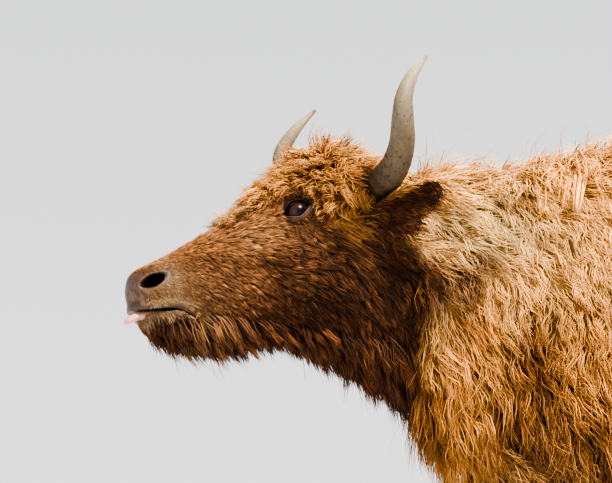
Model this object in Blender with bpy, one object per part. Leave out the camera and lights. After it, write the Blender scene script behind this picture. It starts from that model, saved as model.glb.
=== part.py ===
"""A life-size domestic yak cow, standing, with its head turned a little to its left.

The body is one loft of rounded sections from the nose to the rump, parted into head, neck and torso
by plane cuts. Legs, hooves, horns, ears, eyes, tongue and tail are set in sockets of what they grow from.
The coat is a core round the body with flat, tapered locks on it, and the poll has rounded curls.
Metres, +Z up, nose towards -Y, the animal's left side towards +X.
"""

import math
import random
from collections import namedtuple

import bmesh
import bpy
from mathutils import Matrix, Vector
from mathutils.bvhtree import BVHTree

# Placing and fits
GAP = 0.0003
OVERRUN = 0.012
SEED = 11

# The head's own frame: its origin is the middle of the nose, and it looks forward, left and up
NOSE = Vector((0.24, -1.322, 0.881))
HEAD_YAW = math.radians(23.5)
HEAD_PITCH = math.radians(13.2)

# Sections of the head, from the nose back: distance behind the nose, top, widest level and underside
# as heights over the head's axis, half width, squareness above and below, depth of the coat's core
HeadSection = namedtuple("HeadSection", "back top wide low half upper lower core")
HEAD_SECTIONS = [
    HeadSection(-0.002, -0.012, -0.030, -0.050, 0.022, 2.2, 2.2, 0.000),
    HeadSection(0.005, 0.007, -0.030, -0.068, 0.040, 2.4, 2.4, 0.000),
    HeadSection(0.018, 0.017, -0.032, -0.088, 0.052, 2.5, 2.4, 0.002),
    HeadSection(0.040, 0.024, -0.034, -0.103, 0.059, 2.5, 2.3, 0.004),
    HeadSection(0.075, 0.033, -0.038, -0.112, 0.060, 2.3, 2.2, 0.006),
    HeadSection(0.120, 0.047, -0.036, -0.117, 0.058, 2.2, 2.0, 0.007),
    HeadSection(0.180, 0.066, -0.028, -0.127, 0.065, 2.2, 1.9, 0.007),
    HeadSection(0.240, 0.090, -0.006, -0.143, 0.081, 2.3, 1.8, 0.008),
    HeadSection(0.295, 0.111, 0.028, -0.162, 0.095, 2.5, 1.8, 0.009),
    HeadSection(0.350, 0.127, 0.036, -0.190, 0.103, 2.5, 1.8, 0.010),
    HeadSection(0.405, 0.134, 0.026, -0.228, 0.106, 2.4, 1.8, 0.014),
    HeadSection(0.480, 0.122, 0.000, -0.280, 0.107, 2.2, 1.8, 0.018),
]

# Sections of the neck and torso: place of the section's middle, its turn and tilt in degrees, then heights
# of top, widest level and underside, half width, squareness above and below, depth of the coat's core
BodySection = namedtuple("BodySection", "x y turn tilt top wide low half upper lower core")
BODY_SECTIONS = [
    BodySection(0.042, -0.832, 14, -4, 1.082, 0.920, 0.668, 0.113, 2.0, 1.8, 0.020),
    BodySection(0.022, -0.760, 8, 0, 1.086, 0.880, 0.604, 0.124, 1.9, 1.8, 0.022),
    BodySection(0.008, -0.670, 3, 0, 1.100, 0.830, 0.534, 0.144, 1.8, 1.8, 0.022),
    BodySection(0.000, -0.580, 0, 0, 1.120, 0.785, 0.462, 0.172, 1.8, 1.9, 0.022),
    BodySection(0.000, -0.490, 0, 0, 1.142, 0.755, 0.420, 0.206, 1.8, 2.0, 0.022),
    BodySection(0.000, -0.380, 0, 0, 1.165, 0.740, 0.400, 0.240, 1.7, 2.1, 0.022),
    BodySection(0.000, -0.250, 0, 0, 1.176, 0.730, 0.395, 0.262, 1.7, 2.2, 0.022),
    BodySection(0.000, -0.100, 0, 0, 1.158, 0.720, 0.395, 0.284, 1.8, 2.2, 0.022),
    BodySection(0.000, 0.060, 0, 0, 1.108, 0.712, 0.397, 0.300, 2.0, 2.2, 0.022),
    BodySection(0.000, 0.220, 0, 0, 1.074, 0.712, 0.407, 0.302, 2.1, 2.2, 0.022),
    BodySection(0.000, 0.360, 0, 0, 1.064, 0.730, 0.437, 0.287, 2.2, 2.2, 0.022),
    BodySection(0.000, 0.480, 0, 0, 1.056, 0.760, 0.490, 0.262, 2.3, 2.2, 0.022),
    BodySection(0.000, 0.590, 0, 0, 1.030, 0.780, 0.555, 0.222, 2.3, 2.2, 0.022),
    BodySection(0.000, 0.670, 0, 0, 0.982, 0.790, 0.622, 0.172, 2.2, 2.2, 0.022),
    BodySection(0.000, 0.717, 0, 0, 0.925, 0.790, 0.682, 0.116, 2.1, 2.1, 0.022),
    BodySection(0.000, 0.737, 0, 0, 0.862, 0.790, 0.735, 0.055, 2.0, 2.0, 0.022),
]
SHOULDER_SECTION = 4

# Parting planes, as places along the list of sections: head and neck, then neck and torso
HEAD_END = len(HEAD_SECTIONS) - 1
NECK_END = len(HEAD_SECTIONS) + SHOULDER_SECTION
BODY_END = len(HEAD_SECTIONS) + len(BODY_SECTIONS) - 1

# Faces of the rings and how many rings lie between two sections
HEAD_SIDES, NECK_SIDES, TORSO_SIDES = 24, 22, 24
HEAD_STEPS, NECK_STEPS, TORSO_STEPS = 1, 1, 1

# Line of the mouth in the head's frame, as distance behind the nose and height: lips, corner, jaw joint
MOUTH_LINE = [(-0.080, -0.052), (-0.010, -0.054), (0.020, -0.057), (0.055, -0.060), (0.078, -0.074),
              (0.120, -0.080), (0.300, -0.080), (0.520, -0.075)]
LIP_GAP = 0.005
CORNER_BACK = 0.078
LOWER_LIP_BACK = 0.006
NOSTRIL_LENGTH, NOSTRIL_HEIGHT = 0.034, 0.019
TONGUE_PATH = [(0.002, 0.075, -0.066), (0.004, 0.030, -0.060), (0.008, 0.000, -0.060), (0.013, -0.022, -0.064),
               (0.016, -0.036, -0.070)]
TONGUE_HALF_WIDTHS = [0.020, 0.020, 0.019, 0.015, 0.006]
TONGUE_HALF_THICKNESS = 0.0065

# Eye: its middle in the head's frame (left, back, up), ball, lids and opening
EYE_PLACE = (0.0800, 0.300, 0.060)
EYE_RADIUS = 0.021
LID_RADIUS = 0.027
EYE_OPENING_LENGTH, EYE_OPENING_HEIGHT = 0.044, 0.024
EYE_SLANT = math.radians(-8)
EYE_FACES = (0.92, 0.34, 0.16)
NOSTRIL_PLACE = (0.046, 0.026, -0.008)
NOSTRIL_FACES = (0.80, 0.52, 0.12)
JAW_BACK = 0.300
JAW_BACK_PLACE = 7.9
JAW_SPACING, CHEEK_SPACING = 0.075, 0.075
TAIL_FRONT = 0.778

# Horns and ears in the head's frame (left, back, up)
HORN_PATH = [(0.070, 0.436, 0.068), (0.105, 0.440, 0.077), (0.150, 0.446, 0.086), (0.192, 0.450, 0.105),
             (0.230, 0.450, 0.135), (0.257, 0.447, 0.172), (0.264, 0.455, 0.208), (0.252, 0.486, 0.244),
             (0.236, 0.528, 0.273)]
HORN_RADII = [0.028, 0.028, 0.0265, 0.0245, 0.022, 0.019, 0.015, 0.010, 0.003]
EAR_PATH = [(0.082, 0.404, 0.002), (0.112, 0.422, 0.010), (0.142, 0.448, 0.018), (0.170, 0.478, 0.025),
            (0.190, 0.504, 0.030), (0.204, 0.521, 0.033)]
EAR_HALF_WIDTHS = [0.014, 0.022, 0.031, 0.033, 0.025, 0.008]
EAR_THICKNESS = 0.006
EAR_CUP = 0.62
EAR_FACES = (0.50, -0.62, -0.42)

# Legs: height, set back from the foot, half width and half length of each level section
LegSection = namedtuple("LegSection", "height back half_x half_y")
FORE_LEG = [
    LegSection(0.600, 0.012, 0.062, 0.090),
    LegSection(0.500, 0.008, 0.062, 0.082),
    LegSection(0.420, 0.002, 0.052, 0.064),
    LegSection(0.355, -0.003, 0.043, 0.050),
    LegSection(0.310, -0.006, 0.045, 0.052),
    LegSection(0.265, -0.002, 0.037, 0.042),
    LegSection(0.200, 0.004, 0.031, 0.036),
    LegSection(0.145, 0.006, 0.035, 0.041),
    LegSection(0.112, 0.003, 0.040, 0.047),
    LegSection(0.082, -0.012, 0.038, 0.045),
    LegSection(0.060, -0.026, 0.046, 0.055),
]
HIND_LEG = [
    LegSection(0.690, -0.030, 0.070, 0.130),
    LegSection(0.600, -0.018, 0.072, 0.122),
    LegSection(0.520, 0.016, 0.060, 0.092),
    LegSection(0.455, 0.048, 0.047, 0.066),
    LegSection(0.400, 0.062, 0.041, 0.055),
    LegSection(0.345, 0.057, 0.038, 0.048),
    LegSection(0.270, 0.044, 0.032, 0.040),
    LegSection(0.200, 0.034, 0.031, 0.038),
    LegSection(0.145, 0.027, 0.035, 0.042),
    LegSection(0.112, 0.022, 0.040, 0.048),
    LegSection(0.082, 0.006, 0.038, 0.045),
    LegSection(0.060, -0.010, 0.046, 0.055),
]
LEG_SIDES = 10
LEG_LEAN = 0.05
CLAW_SIDES = 10
HORN_SIDES = 10
EAR_ARC = 5
TAIL_SIDES = 12
FEET = {
    "leg_front_left": (FORE_LEG, 0.155, -0.385),
    "leg_front_right": (FORE_LEG, -0.155, -0.325),
    "leg_hind_left": (HIND_LEG, 0.150, 0.525),
    "leg_hind_right": (HIND_LEG, -0.150, 0.455),
}
CLAW_SECTIONS = [
    LegSection(0.0597, -0.026, 0.0205, 0.048),
    LegSection(0.030, -0.033, 0.0220, 0.054),
    LegSection(0.005, -0.039, 0.0230, 0.058),
    LegSection(0.000, -0.039, 0.0220, 0.056),
]
CLAW_SPREAD = 0.0245
DEWCLAW_HEIGHT, DEWCLAW_RADIUS, DEWCLAW_LENGTH = 0.098, 0.011, 0.040

# Tail: path down behind the rump, and the half width of its core
TAIL_PATH = [(0, 0.690, 0.900), (0, 0.768, 0.906), (0, 0.824, 0.865), (0, 0.846, 0.770), (0, 0.850, 0.620),
             (0, 0.848, 0.470), (0, 0.845, 0.330), (0, 0.842, 0.230)]
TAIL_RADII = [0.034, 0.034, 0.036, 0.040, 0.046, 0.050, 0.040, 0.016]

# Locks: share of the length, and of the width, at each of a lock's sections; the last share is its tip
LOCK_SHAPE = [(0.00, 0.62), (0.30, 1.00), (0.68, 0.78)]
LOCK_FLATNESS = 0.085
LOCK_THINNING = 0.50
LOCK_SINK = 0.014
CLEAR = 0.003

# Rows of locks round the body: angle (90 is the ridge), length, width, how far the tip stands off,
# how fast it falls by its weight, and how much it lies backwards
LockRow = namedtuple("LockRow", "angle length width lift fall back")
TORSO_ROWS = [
    LockRow(90, 0.220, 0.178, 0.014, 1.0, 0.80),
    LockRow(67, 0.250, 0.182, 0.026, 1.0, 0.58),
    LockRow(45, 0.280, 0.184, 0.032, 1.1, 0.40),
    LockRow(22, 0.300, 0.186, 0.036, 1.3, 0.26),
    LockRow(2, 0.310, 0.186, 0.038, 1.6, 0.18),
    LockRow(-20, 0.290, 0.184, 0.040, 2.0, 0.12),
    LockRow(-46, 0.220, 0.172, 0.036, 2.6, 0.10),
]
TORSO_SPACING = 0.170
NECK_ROWS = [
    LockRow(90, 0.160, 0.120, 0.010, 1.2, 0.75),
    LockRow(62, 0.190, 0.130, 0.022, 1.0, 0.60),
    LockRow(35, 0.210, 0.134, 0.026, 1.1, 0.50),
    LockRow(8, 0.230, 0.134, 0.028, 1.4, 0.42),
    LockRow(-20, 0.230, 0.130, 0.030, 1.7, 0.40),
    LockRow(-52, 0.210, 0.122, 0.034, 2.2, 0.42),
    LockRow(-90, 0.180, 0.110, 0.036, 2.4, 0.48),
]
NECK_SPACING = 0.150
JAW_ROWS = [
    LockRow(-48, 0.062, 0.064, 0.012, 1.6, 0.75),
    LockRow(-90, 0.064, 0.060, 0.018, 1.6, 0.72),
]
CHEEK_ROWS = [
    LockRow(-36, 0.120, 0.085, 0.018, 1.6, 0.70),
    LockRow(-66, 0.120, 0.080, 0.026, 2.0, 0.60),
    LockRow(-90, 0.115, 0.075, 0.034, 2.2, 0.58),
]
TAIL_LOCKS_ROUND = 6
TAIL_ROWS = [
    LockRow(0, 0.300, 0.095, 0.016, 1.0, 0),
    LockRow(0, 0.320, 0.105, 0.030, 1.0, 0),
    LockRow(0, 0.270, 0.095, 0.034, 1.0, 0),
]
TAIL_ROW_HEIGHTS = [0.790, 0.590, 0.400]

# Core of the poll's hair, then its curls, as rounded clumps between and before the horns: rows from the forehead back,
# with how many stand in each, half the row's width, their radius and how high they stand
POLL_PLACE, POLL_SIZE = (0.0, 0.392, 0.098), (0.088, 0.100, 0.066)
CurlRow = namedtuple("CurlRow", "back count half_row radius rise")
CURL_ROWS = [
    CurlRow(0.262, 2, 0.022, 0.024, 0.001),
    CurlRow(0.298, 3, 0.044, 0.030, 0.006),
    CurlRow(0.340, 4, 0.060, 0.034, 0.014),
    CurlRow(0.386, 5, 0.070, 0.036, 0.019),
    CurlRow(0.430, 5, 0.073, 0.034, 0.013),
    CurlRow(0.464, 4, 0.072, 0.034, 0.002),
]


def clear_scene():
    for obj in list(bpy.data.objects):
        bpy.data.objects.remove(obj)


def collection(name):
    made = bpy.data.collections.new(name)
    bpy.context.scene.collection.children.link(made)
    return made


def material(name, colour, roughness):
    made = bpy.data.materials.new(name)
    made.use_nodes = True
    shader = made.node_tree.nodes["Principled BSDF"]
    shader.inputs["Base Color"].default_value = (*colour, 1)
    shader.inputs["Roughness"].default_value = roughness
    return made


def smooth_mix(values, place):
    """Catmull-Rom through numbers or vectors that stand at 0, 1, 2 and so on."""
    index = min(int(place), len(values) - 2)
    t = place - index
    before = values[max(index - 1, 0)]
    first, second = values[index], values[index + 1]
    after = values[min(index + 2, len(values) - 1)]
    return (
        first * (1 - t) ** 2 * (1 + 2 * t)
        + second * t**2 * (3 - 2 * t)
        + (second - before) * 0.5 * t * (1 - t) ** 2
        - (after - first) * 0.5 * t**2 * (1 - t)
    )


def turned_axes(turn, tilt):
    """Forward, left and up of a section that is turned to the left and tilted up."""
    forward = Vector((math.sin(turn) * math.cos(tilt), -math.cos(turn) * math.cos(tilt), math.sin(tilt)))
    left = Vector((math.cos(turn), math.sin(turn), 0))
    return forward, left, left.cross(forward) * -1


HEAD_FORWARD, HEAD_LEFT, HEAD_UP = turned_axes(HEAD_YAW, -HEAD_PITCH)


def head_point(left, back, up):
    return NOSE + HEAD_LEFT * left - HEAD_FORWARD * back + HEAD_UP * up


def spine():
    """Every section in one list of the same form: middle, turn, tilt, half width, rise, drop and so on."""
    found = []
    for s in HEAD_SECTIONS:
        found.append((head_point(0, s.back, s.wide), HEAD_YAW, -HEAD_PITCH,
                      s.half, s.top - s.wide, s.wide - s.low, s.upper, s.lower, s.core))
    for s in BODY_SECTIONS:
        tilt = math.radians(s.tilt)
        found.append((Vector((s.x, s.y, s.wide)), math.radians(s.turn), tilt,
                      s.half, (s.top - s.wide) / math.cos(tilt), (s.wide - s.low) / math.cos(tilt),
                      s.upper, s.lower, s.core))
    return list(zip(*found))


SPINE = spine()


def section_at(place):
    return [smooth_mix(column, place) for column in SPINE]


def superellipse(angle, power):
    c, s = math.cos(angle), math.sin(angle)
    return math.copysign(abs(c) ** (2 / power), c), math.copysign(abs(s) ** (2 / power), s)


def body_point(place, angle, extra=0.0):
    """Point of the coat's core at a place along the spine and an angle round it: 0 is left, 90 the top."""
    middle, turn, tilt, half, rise, drop, upper, lower, core = section_at(place)
    _, left, up = turned_axes(turn, tilt)
    across, height = superellipse(angle, upper if math.sin(angle) >= 0 else lower)
    depth = core + extra
    reach = (rise if height >= 0 else drop) + depth
    return middle + left * (across * (half + depth)) + up * (height * reach)


def ring_mesh(name, rings):
    """A closed mesh through rings of points, with a flat face over each end."""
    sides = len(rings[0])
    mesh = bmesh.new()
    rows = [[mesh.verts.new(point) for point in ring] for ring in rings]
    for row, following in zip(rows, rows[1:]):
        for k in range(sides):
            mesh.faces.new((row[k], row[(k + 1) % sides], following[(k + 1) % sides], following[k]))
    mesh.faces.new(rows[0][::-1])
    mesh.faces.new(rows[-1])
    bmesh.ops.recalc_face_normals(mesh, faces=mesh.faces)
    bmesh.ops.triangulate(mesh, faces=mesh.faces)
    made = bpy.data.meshes.new(name)
    mesh.to_mesh(made)
    mesh.free()
    return made


def add_object(name, mesh, home, look=None):
    obj = bpy.data.objects.new(name, mesh)
    home.objects.link(obj)
    if look:
        mesh.materials.clear()
        mesh.materials.append(look)
    return obj


def settle(obj):
    """Turns the evaluated object into its own plain mesh."""
    bpy.context.view_layer.update()
    evaluated = obj.evaluated_get(bpy.context.evaluated_depsgraph_get())
    mesh = bpy.data.meshes.new_from_object(evaluated)
    obj.modifiers.clear()
    obj.data = mesh


def keep_largest(obj):
    """Drops every closed surface of the mesh but its largest, counting only faces that share an edge."""
    mesh = bmesh.new()
    mesh.from_mesh(obj.data)
    unseen = set(mesh.faces)
    islands = []
    while unseen:
        stack = [unseen.pop()]
        island = list(stack)
        while stack:
            for edge in stack.pop().edges:
                for face in edge.link_faces:
                    if face in unseen:
                        unseen.remove(face)
                        island.append(face)
                        stack.append(face)
        islands.append(island)
    islands.sort(key=len)
    bmesh.ops.delete(mesh, geom=[face for island in islands[:-1] for face in island], context="FACES")
    mesh.to_mesh(obj.data)
    mesh.free()


def combine(obj, pieces, operation, solver="MANIFOLD"):
    """One Boolean of the object with a collection of closed meshes, applied."""
    group = collection(obj.name + "_pieces")
    for piece in pieces:
        for holder in list(piece.users_collection):
            holder.objects.unlink(piece)
        group.objects.link(piece)
    modifier = obj.modifiers.new(operation.lower(), "BOOLEAN")
    modifier.operation = operation
    modifier.operand_type = "COLLECTION"
    modifier.collection = group
    modifier.solver = solver
    settle(obj)
    for piece in pieces:
        bpy.data.objects.remove(piece)
    bpy.data.collections.remove(group)
    keep_largest(obj)


def half_space(name, point, outward, home, reach=3.0):
    """A large box that starts half the gap before a plane and fills the side that outward points to."""
    mesh = bmesh.new()
    bmesh.ops.create_cube(mesh, size=reach)
    turn = outward.to_track_quat("Z", "Y").to_matrix().to_4x4()
    mesh.transform(Matrix.Translation(point + outward * (reach / 2 - GAP / 2)) @ turn)
    made = bpy.data.meshes.new(name)
    mesh.to_mesh(made)
    mesh.free()
    return add_object(name, made, home)


def parting_plane(place):
    """Middle and forward direction of the plane at a section of the spine."""
    middle, turn, tilt = section_at(place)[:3]
    return middle, turned_axes(turn, tilt)[0]


def body_stretch(name, first, last, sides, steps, home, look):
    """The coat's core between two sections, a little past the planes at which it is cut later."""
    count = round((last - first) * steps)
    rings = []
    for k in range(count + 1):
        place = first + (last - first) * k / count
        ring = [body_point(place, 2 * math.pi * n / sides) for n in range(sides)]
        rings.append(ring)
    if first > 0:
        forward = parting_plane(first)[1]
        rings[0] = [point + forward * OVERRUN for point in rings[0]]
    if last < BODY_END:
        forward = parting_plane(last)[1]
        rings[-1] = [point - forward * OVERRUN for point in rings[-1]]
    return add_object(name, ring_mesh(name, rings), home, look)


def along_path(points, steps):
    """Points of a smooth curve through the given ones, and their places among them."""
    vectors = [Vector(p) for p in points]
    count = (len(points) - 1) * steps
    places = [k / steps for k in range(count + 1)]
    return places, [smooth_mix(vectors, place) for place in places]


def tube(name, points, radii, sides, steps, home, look=None, flatten=1.0, facing=None):
    """A tapered, bent rod with closed ends. Its section is flattened along facing."""
    places, spots = along_path(points, steps)
    facing = facing or Vector((0, 0, 1))
    rings = []
    for k, (place, spot) in enumerate(zip(places, spots)):
        ahead = (spots[min(k + 1, len(spots) - 1)] - spots[max(k - 1, 0)]).normalized()
        side = ahead.cross(facing).normalized()
        thin = side.cross(ahead).normalized()
        radius = smooth_mix(radii, place)
        rings.append([
            spot
            + side * (radius * math.cos(2 * math.pi * n / sides))
            + thin * (radius * flatten * math.sin(2 * math.pi * n / sides))
            for n in range(sides)
        ])
    return add_object(name, ring_mesh(name, rings), home, look)


def pushed_out(tree, spot, clear):
    """The spot moved to at least clear outside a closed surface, and the way it was pushed."""
    near, facing, _, distance = tree.find_nearest(spot)
    crossings, start, ray = 0, spot, Vector((0.31, 0.22, 0.92)).normalized()
    while crossings < 12:
        hit = tree.ray_cast(start, ray)[0]
        if hit is None:
            break
        crossings += 1
        start = hit + ray * 1e-5
    inside = crossings % 2 == 1
    if not inside and distance >= clear:
        return spot, None
    way = (near - spot) if inside else (spot - near)
    way = way.normalized() if way.length > 1e-6 else facing
    return near + way * clear, way


def lock(trees, root, normal, along, row, home, size=1.0):
    """A flat, tapered lock that starts sunk in the core, follows the coat's lie and bends down by its weight."""
    spots, outs = [root - normal * LOCK_SINK], [normal]
    spot, heading = root.copy(), along.normalized()
    shares = [share for share, _ in LOCK_SHAPE] + [1.0]
    length, width = row.length * size, row.width * size
    for share, following in zip(shares, shares[1:]):
        step = following - share
        heading = (heading + Vector((0, 0, -row.fall * step))).normalized()
        spot = spot + heading * (length * step)
        half_thick = width * LOCK_FLATNESS * (1 - LOCK_THINNING * following)
        out = outs[-1]
        for number, tree in enumerate(trees):
            clear = row.lift * following + half_thick * 0.4 if number == 0 else CLEAR + half_thick
            spot, pushed = pushed_out(tree, spot, clear)
            out = pushed or out
        outs.append((outs[-1] * 0.4 + out * 0.6).normalized())
        spots.append(spot.copy())
    mesh = bmesh.new()
    rows = []
    for k, (share, wide) in enumerate(LOCK_SHAPE):
        ahead = (spots[k + 1] - spots[max(k - 1, 0)]).normalized()
        side = ahead.cross(outs[k]).normalized()
        out = side.cross(ahead).normalized()
        half = width * wide / 2
        thin = width * LOCK_FLATNESS * (1 - LOCK_THINNING * share)
        rows.append([mesh.verts.new(spots[k] + offset) for offset in (side * half, out * thin, side * -half, out * -thin)])
    tip = mesh.verts.new(spots[-1])
    for row_verts, following in zip(rows, rows[1:]):
        for n in range(4):
            mesh.faces.new((row_verts[n], row_verts[(n + 1) % 4], following[(n + 1) % 4], following[n]))
    for n in range(4):
        mesh.faces.new((rows[-1][n], rows[-1][(n + 1) % 4], tip))
    mesh.faces.new(rows[0][::-1])
    bmesh.ops.recalc_face_normals(mesh, faces=mesh.faces)
    bmesh.ops.triangulate(mesh, faces=mesh.faces)
    made = bpy.data.meshes.new("lock")
    mesh.to_mesh(made)
    mesh.free()
    return add_object("lock", made, home)


def even_places(first, last, spacing):
    """A function from a share of the way to a place on the spine, and how many steps of the spacing fit."""
    places = [first + (last - first) * k / 80 for k in range(81)]
    reached = [0.0]
    for a, b in zip(places, places[1:]):
        reached.append(reached[-1] + (section_at(b)[0] - section_at(a)[0]).length)
    count = max(2, round(reached[-1] / spacing))

    def place_at(share):
        wanted = min(max(share, 0.0), 1.0) * reached[-1]
        k = next((k for k in range(80) if reached[k + 1] >= wanted), 79)
        return places[k] + (places[k + 1] - places[k]) * (wanted - reached[k]) / max(1e-9, reached[k + 1] - reached[k])

    return place_at, count


def rows_of_locks(rows, first, last, spacing, trees, home, rng):
    """Locks along a stretch of the body, each row half a step on from the one over it."""
    place_at, count = even_places(first, last, spacing)
    locks = []
    for number, row in enumerate(rows):
        for side in (1,) if abs(row.angle) == 90 else (1, -1):
            for k in range(count):
                share = (k + (0.30 if number % 2 else 0.72) + rng.uniform(-0.14, 0.14)) / count
                place = place_at(share)
                angle = math.radians(row.angle + rng.uniform(-5, 5))
                root = body_point(place, angle if side > 0 else math.pi - angle)
                near, normal, _, _ = trees[0].find_nearest(root)
                forward = parting_plane(place)[1]
                sideways = Vector((1, 0, 0)) * rng.choice((-0.5, 0.5)) if abs(row.angle) == 90 else Vector((0, 0, 0))
                along = Vector((0, 0, -1)) * (1 - row.back) - forward * row.back + sideways * (1 - row.back)
                along = along - normal * along.dot(normal)
                if along.length < 0.1:
                    along = Vector((0, 0, -1)) - normal * -normal.z
                locks.append(lock(trees, near, normal, along, row, home, rng.uniform(0.88, 1.12)))
    return locks


def curls(tree, home, rng):
    """Rounded clumps over the poll, set close."""
    made = []
    for row in CURL_ROWS:
        for k in range(row.count):
            across = -row.half_row + 2 * row.half_row * k / (row.count - 1)
            spot = head_point(across + rng.uniform(-0.004, 0.004), row.back + rng.uniform(-0.006, 0.006), 0.100)
            near, normal, _, _ = tree.ray_cast(spot + HEAD_UP * 0.3, -HEAD_UP)
            radius = row.radius * rng.uniform(0.88, 1.10)
            centre = near + normal * row.rise * rng.uniform(0.7, 1.1)
            turn = Matrix.Rotation(rng.uniform(0, 6.28), 3, "Z") @ Matrix.Rotation(rng.uniform(-0.5, 0.5), 3, "X")
            axes = [turn @ axis for axis in (HEAD_LEFT, HEAD_FORWARD, HEAD_UP)]
            made.append(ball("curl", centre, radius, home, rings=4, sides=5, squash=(1.0, 1.12, 0.94), axes=axes))
    return made


def surface_of(obj):
    return BVHTree.FromObject(obj, bpy.context.evaluated_depsgraph_get())


def almond(name, centre, facing, across, length, height, near, far, home, sides=14, power=1.5, flare=1.25):
    """A cutter with a pointed oval section, from near to far along facing, wider at its far end."""
    facing = facing.normalized()
    across = (across - facing * across.dot(facing)).normalized()
    up = facing.cross(across).normalized()
    rings = []
    for reach, scale in ((near, 1.0), ((near + far) / 2, 1.0), (far, flare)):
        ring = []
        for n in range(sides):
            x, y = superellipse(2 * math.pi * n / sides, power)
            ring.append(centre + facing * reach + across * (x * length * scale / 2) + up * (y * height * scale / 2))
        rings.append(ring)
    return add_object(name, ring_mesh(name, rings), home)


def ball(name, centre, radius, home, look=None, rings=7, sides=12, squash=(1, 1, 1), axes=None):
    """A ball of latitude rings, with its poles along the third axis."""
    axes = axes or (Vector((1, 0, 0)), Vector((0, 1, 0)), Vector((0, 0, 1)))
    mesh = bmesh.new()
    bmesh.ops.create_uvsphere(mesh, u_segments=sides, v_segments=rings, radius=radius)
    for vert in mesh.verts:
        c = vert.co
        vert.co = centre + axes[0] * (c.x * squash[0]) + axes[1] * (c.y * squash[1]) + axes[2] * (c.z * squash[2])
    mesh.normal_update()
    bmesh.ops.recalc_face_normals(mesh, faces=mesh.faces)
    bmesh.ops.triangulate(mesh, faces=mesh.faces)
    made = bpy.data.meshes.new(name)
    mesh.to_mesh(made)
    mesh.free()
    return add_object(name, made, home, look)


def grown(obj, home, extra=GAP * 1.5):
    """A copy of a finished node, a little larger all round, to cut its socket."""
    mesh = bmesh.new()
    mesh.from_mesh(obj.data)
    mesh.normal_update()
    moves = [(vert, vert.co + vert.normal * (extra * min(2.2, vert.calc_shell_factor()))) for vert in mesh.verts]
    for vert, place in moves:
        vert.co = place
    made = bpy.data.meshes.new("socket")
    mesh.to_mesh(made)
    mesh.free()
    return add_object("socket", made, home)


def head_direction(left, forward, up):
    return (HEAD_LEFT * left + HEAD_FORWARD * forward + HEAD_UP * up).normalized()


def jaw_prism(name, home, grow=0.0):
    """The side outline of the lower jaw, drawn through the head. Growing it leaves the gap to the head."""
    line = [(g, u + grow) for g, u in MOUTH_LINE[:-2]]
    line += [(JAW_BACK + grow, MOUTH_LINE[-3][1] + grow), (JAW_BACK + 0.03 + grow, -0.360), (-0.080, -0.360)]
    if grow == 0:
        line[0:3] = [(g, u - LIP_GAP * max(0.0, 1 - max(g, 0) / CORNER_BACK)) for g, u in line[0:3]]
        line[3] = (line[3][0], line[3][1] - LIP_GAP * 0.25)
    rings = [[head_point(side, g, u) for g, u in line] for side in (-0.30, 0.30)]
    return add_object(name, ring_mesh(name, rings), home)


def horn(name, side, home, look):
    points = [head_point(side * l, g, u) for l, g, u in HORN_PATH]
    return tube(name, points, HORN_RADII, HORN_SIDES, 1, home, look, facing=HEAD_FORWARD)


def tongue(name, home, look):
    points = [head_point(*p) for p in TONGUE_PATH]
    flatten = TONGUE_HALF_THICKNESS / max(TONGUE_HALF_WIDTHS)
    return tube(name, points, TONGUE_HALF_WIDTHS, 10, 2, home, look, flatten=flatten, facing=HEAD_UP)


def ear(name, side, home, look):
    """A cupped leaf: each section is a crescent that opens towards the way the ear faces."""
    places, spots = along_path([head_point(side * l, g, u) for l, g, u in EAR_PATH], 2)
    opening = head_direction(side * EAR_FACES[0], -EAR_FACES[1], EAR_FACES[2])
    rings = []
    for k, (place, spot) in enumerate(zip(places, spots)):
        ahead = (spots[min(k + 1, len(spots) - 1)] - spots[max(k - 1, 0)]).normalized()
        out = (opening - ahead * opening.dot(ahead)).normalized()
        across = ahead.cross(out).normalized()
        half = smooth_mix(EAR_HALF_WIDTHS, place)
        cup = half * EAR_CUP
        thick = EAR_THICKNESS / 2
        outer, inner = [], []
        for n in range(EAR_ARC + 1):
            x = -1 + 2 * n / EAR_ARC
            bow = cup * (1 - x * x)
            edge = math.sqrt(max(0.0, 1 - x**4))
            mid = spot + across * (x * half) - out * (bow - cup * 0.5)
            outer.append(mid - out * (thick * max(edge, 0.35)))
            inner.append(mid + out * (thick * max(edge, 0.35)))
        rings.append(outer + inner[::-1])
    return add_object(name, ring_mesh(name, rings), home, look)


def leg(name, home, look):
    """A leg from its hidden top in the torso down to the top of the claws."""
    sections, x, y = FEET[name]
    rings = []
    count = len(sections) - 1
    for k in range(count + 1):
        height, back, half_x, half_y = sections[k]
        inward = -math.copysign(LEG_LEAN * max(0.0, height - 0.30), x)
        rings.append([
            Vector((x + inward + c * half_x, y + back + s * half_y, height))
            for c, s in (superellipse(2 * math.pi * n / LEG_SIDES, 2.2) for n in range(LEG_SIDES))
        ])
    return add_object(name, ring_mesh(name, rings), home, look)


def dewclaws(name, home):
    """Two small claws behind the fetlock, to be joined to the leg."""
    _, x, y = FEET[name]
    back = FORE_LEG[8].back if name.startswith("leg_front") else HIND_LEG[9].back
    made = []
    for side in (-1, 1):
        start = Vector((x + side * 0.020, y + back + 0.030, DEWCLAW_HEIGHT + 0.008))
        middle = Vector((x + side * 0.024, y + back + 0.052, DEWCLAW_HEIGHT - 0.004))
        end = Vector((x + side * 0.026, y + back + 0.060, DEWCLAW_HEIGHT - 0.022))
        made.append(tube(name + "_dewclaw", [start, middle, end], [DEWCLAW_RADIUS, DEWCLAW_RADIUS, 0.006], 6, 1, home,
                         facing=Vector((1, 0, 0))))
    return made


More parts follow.
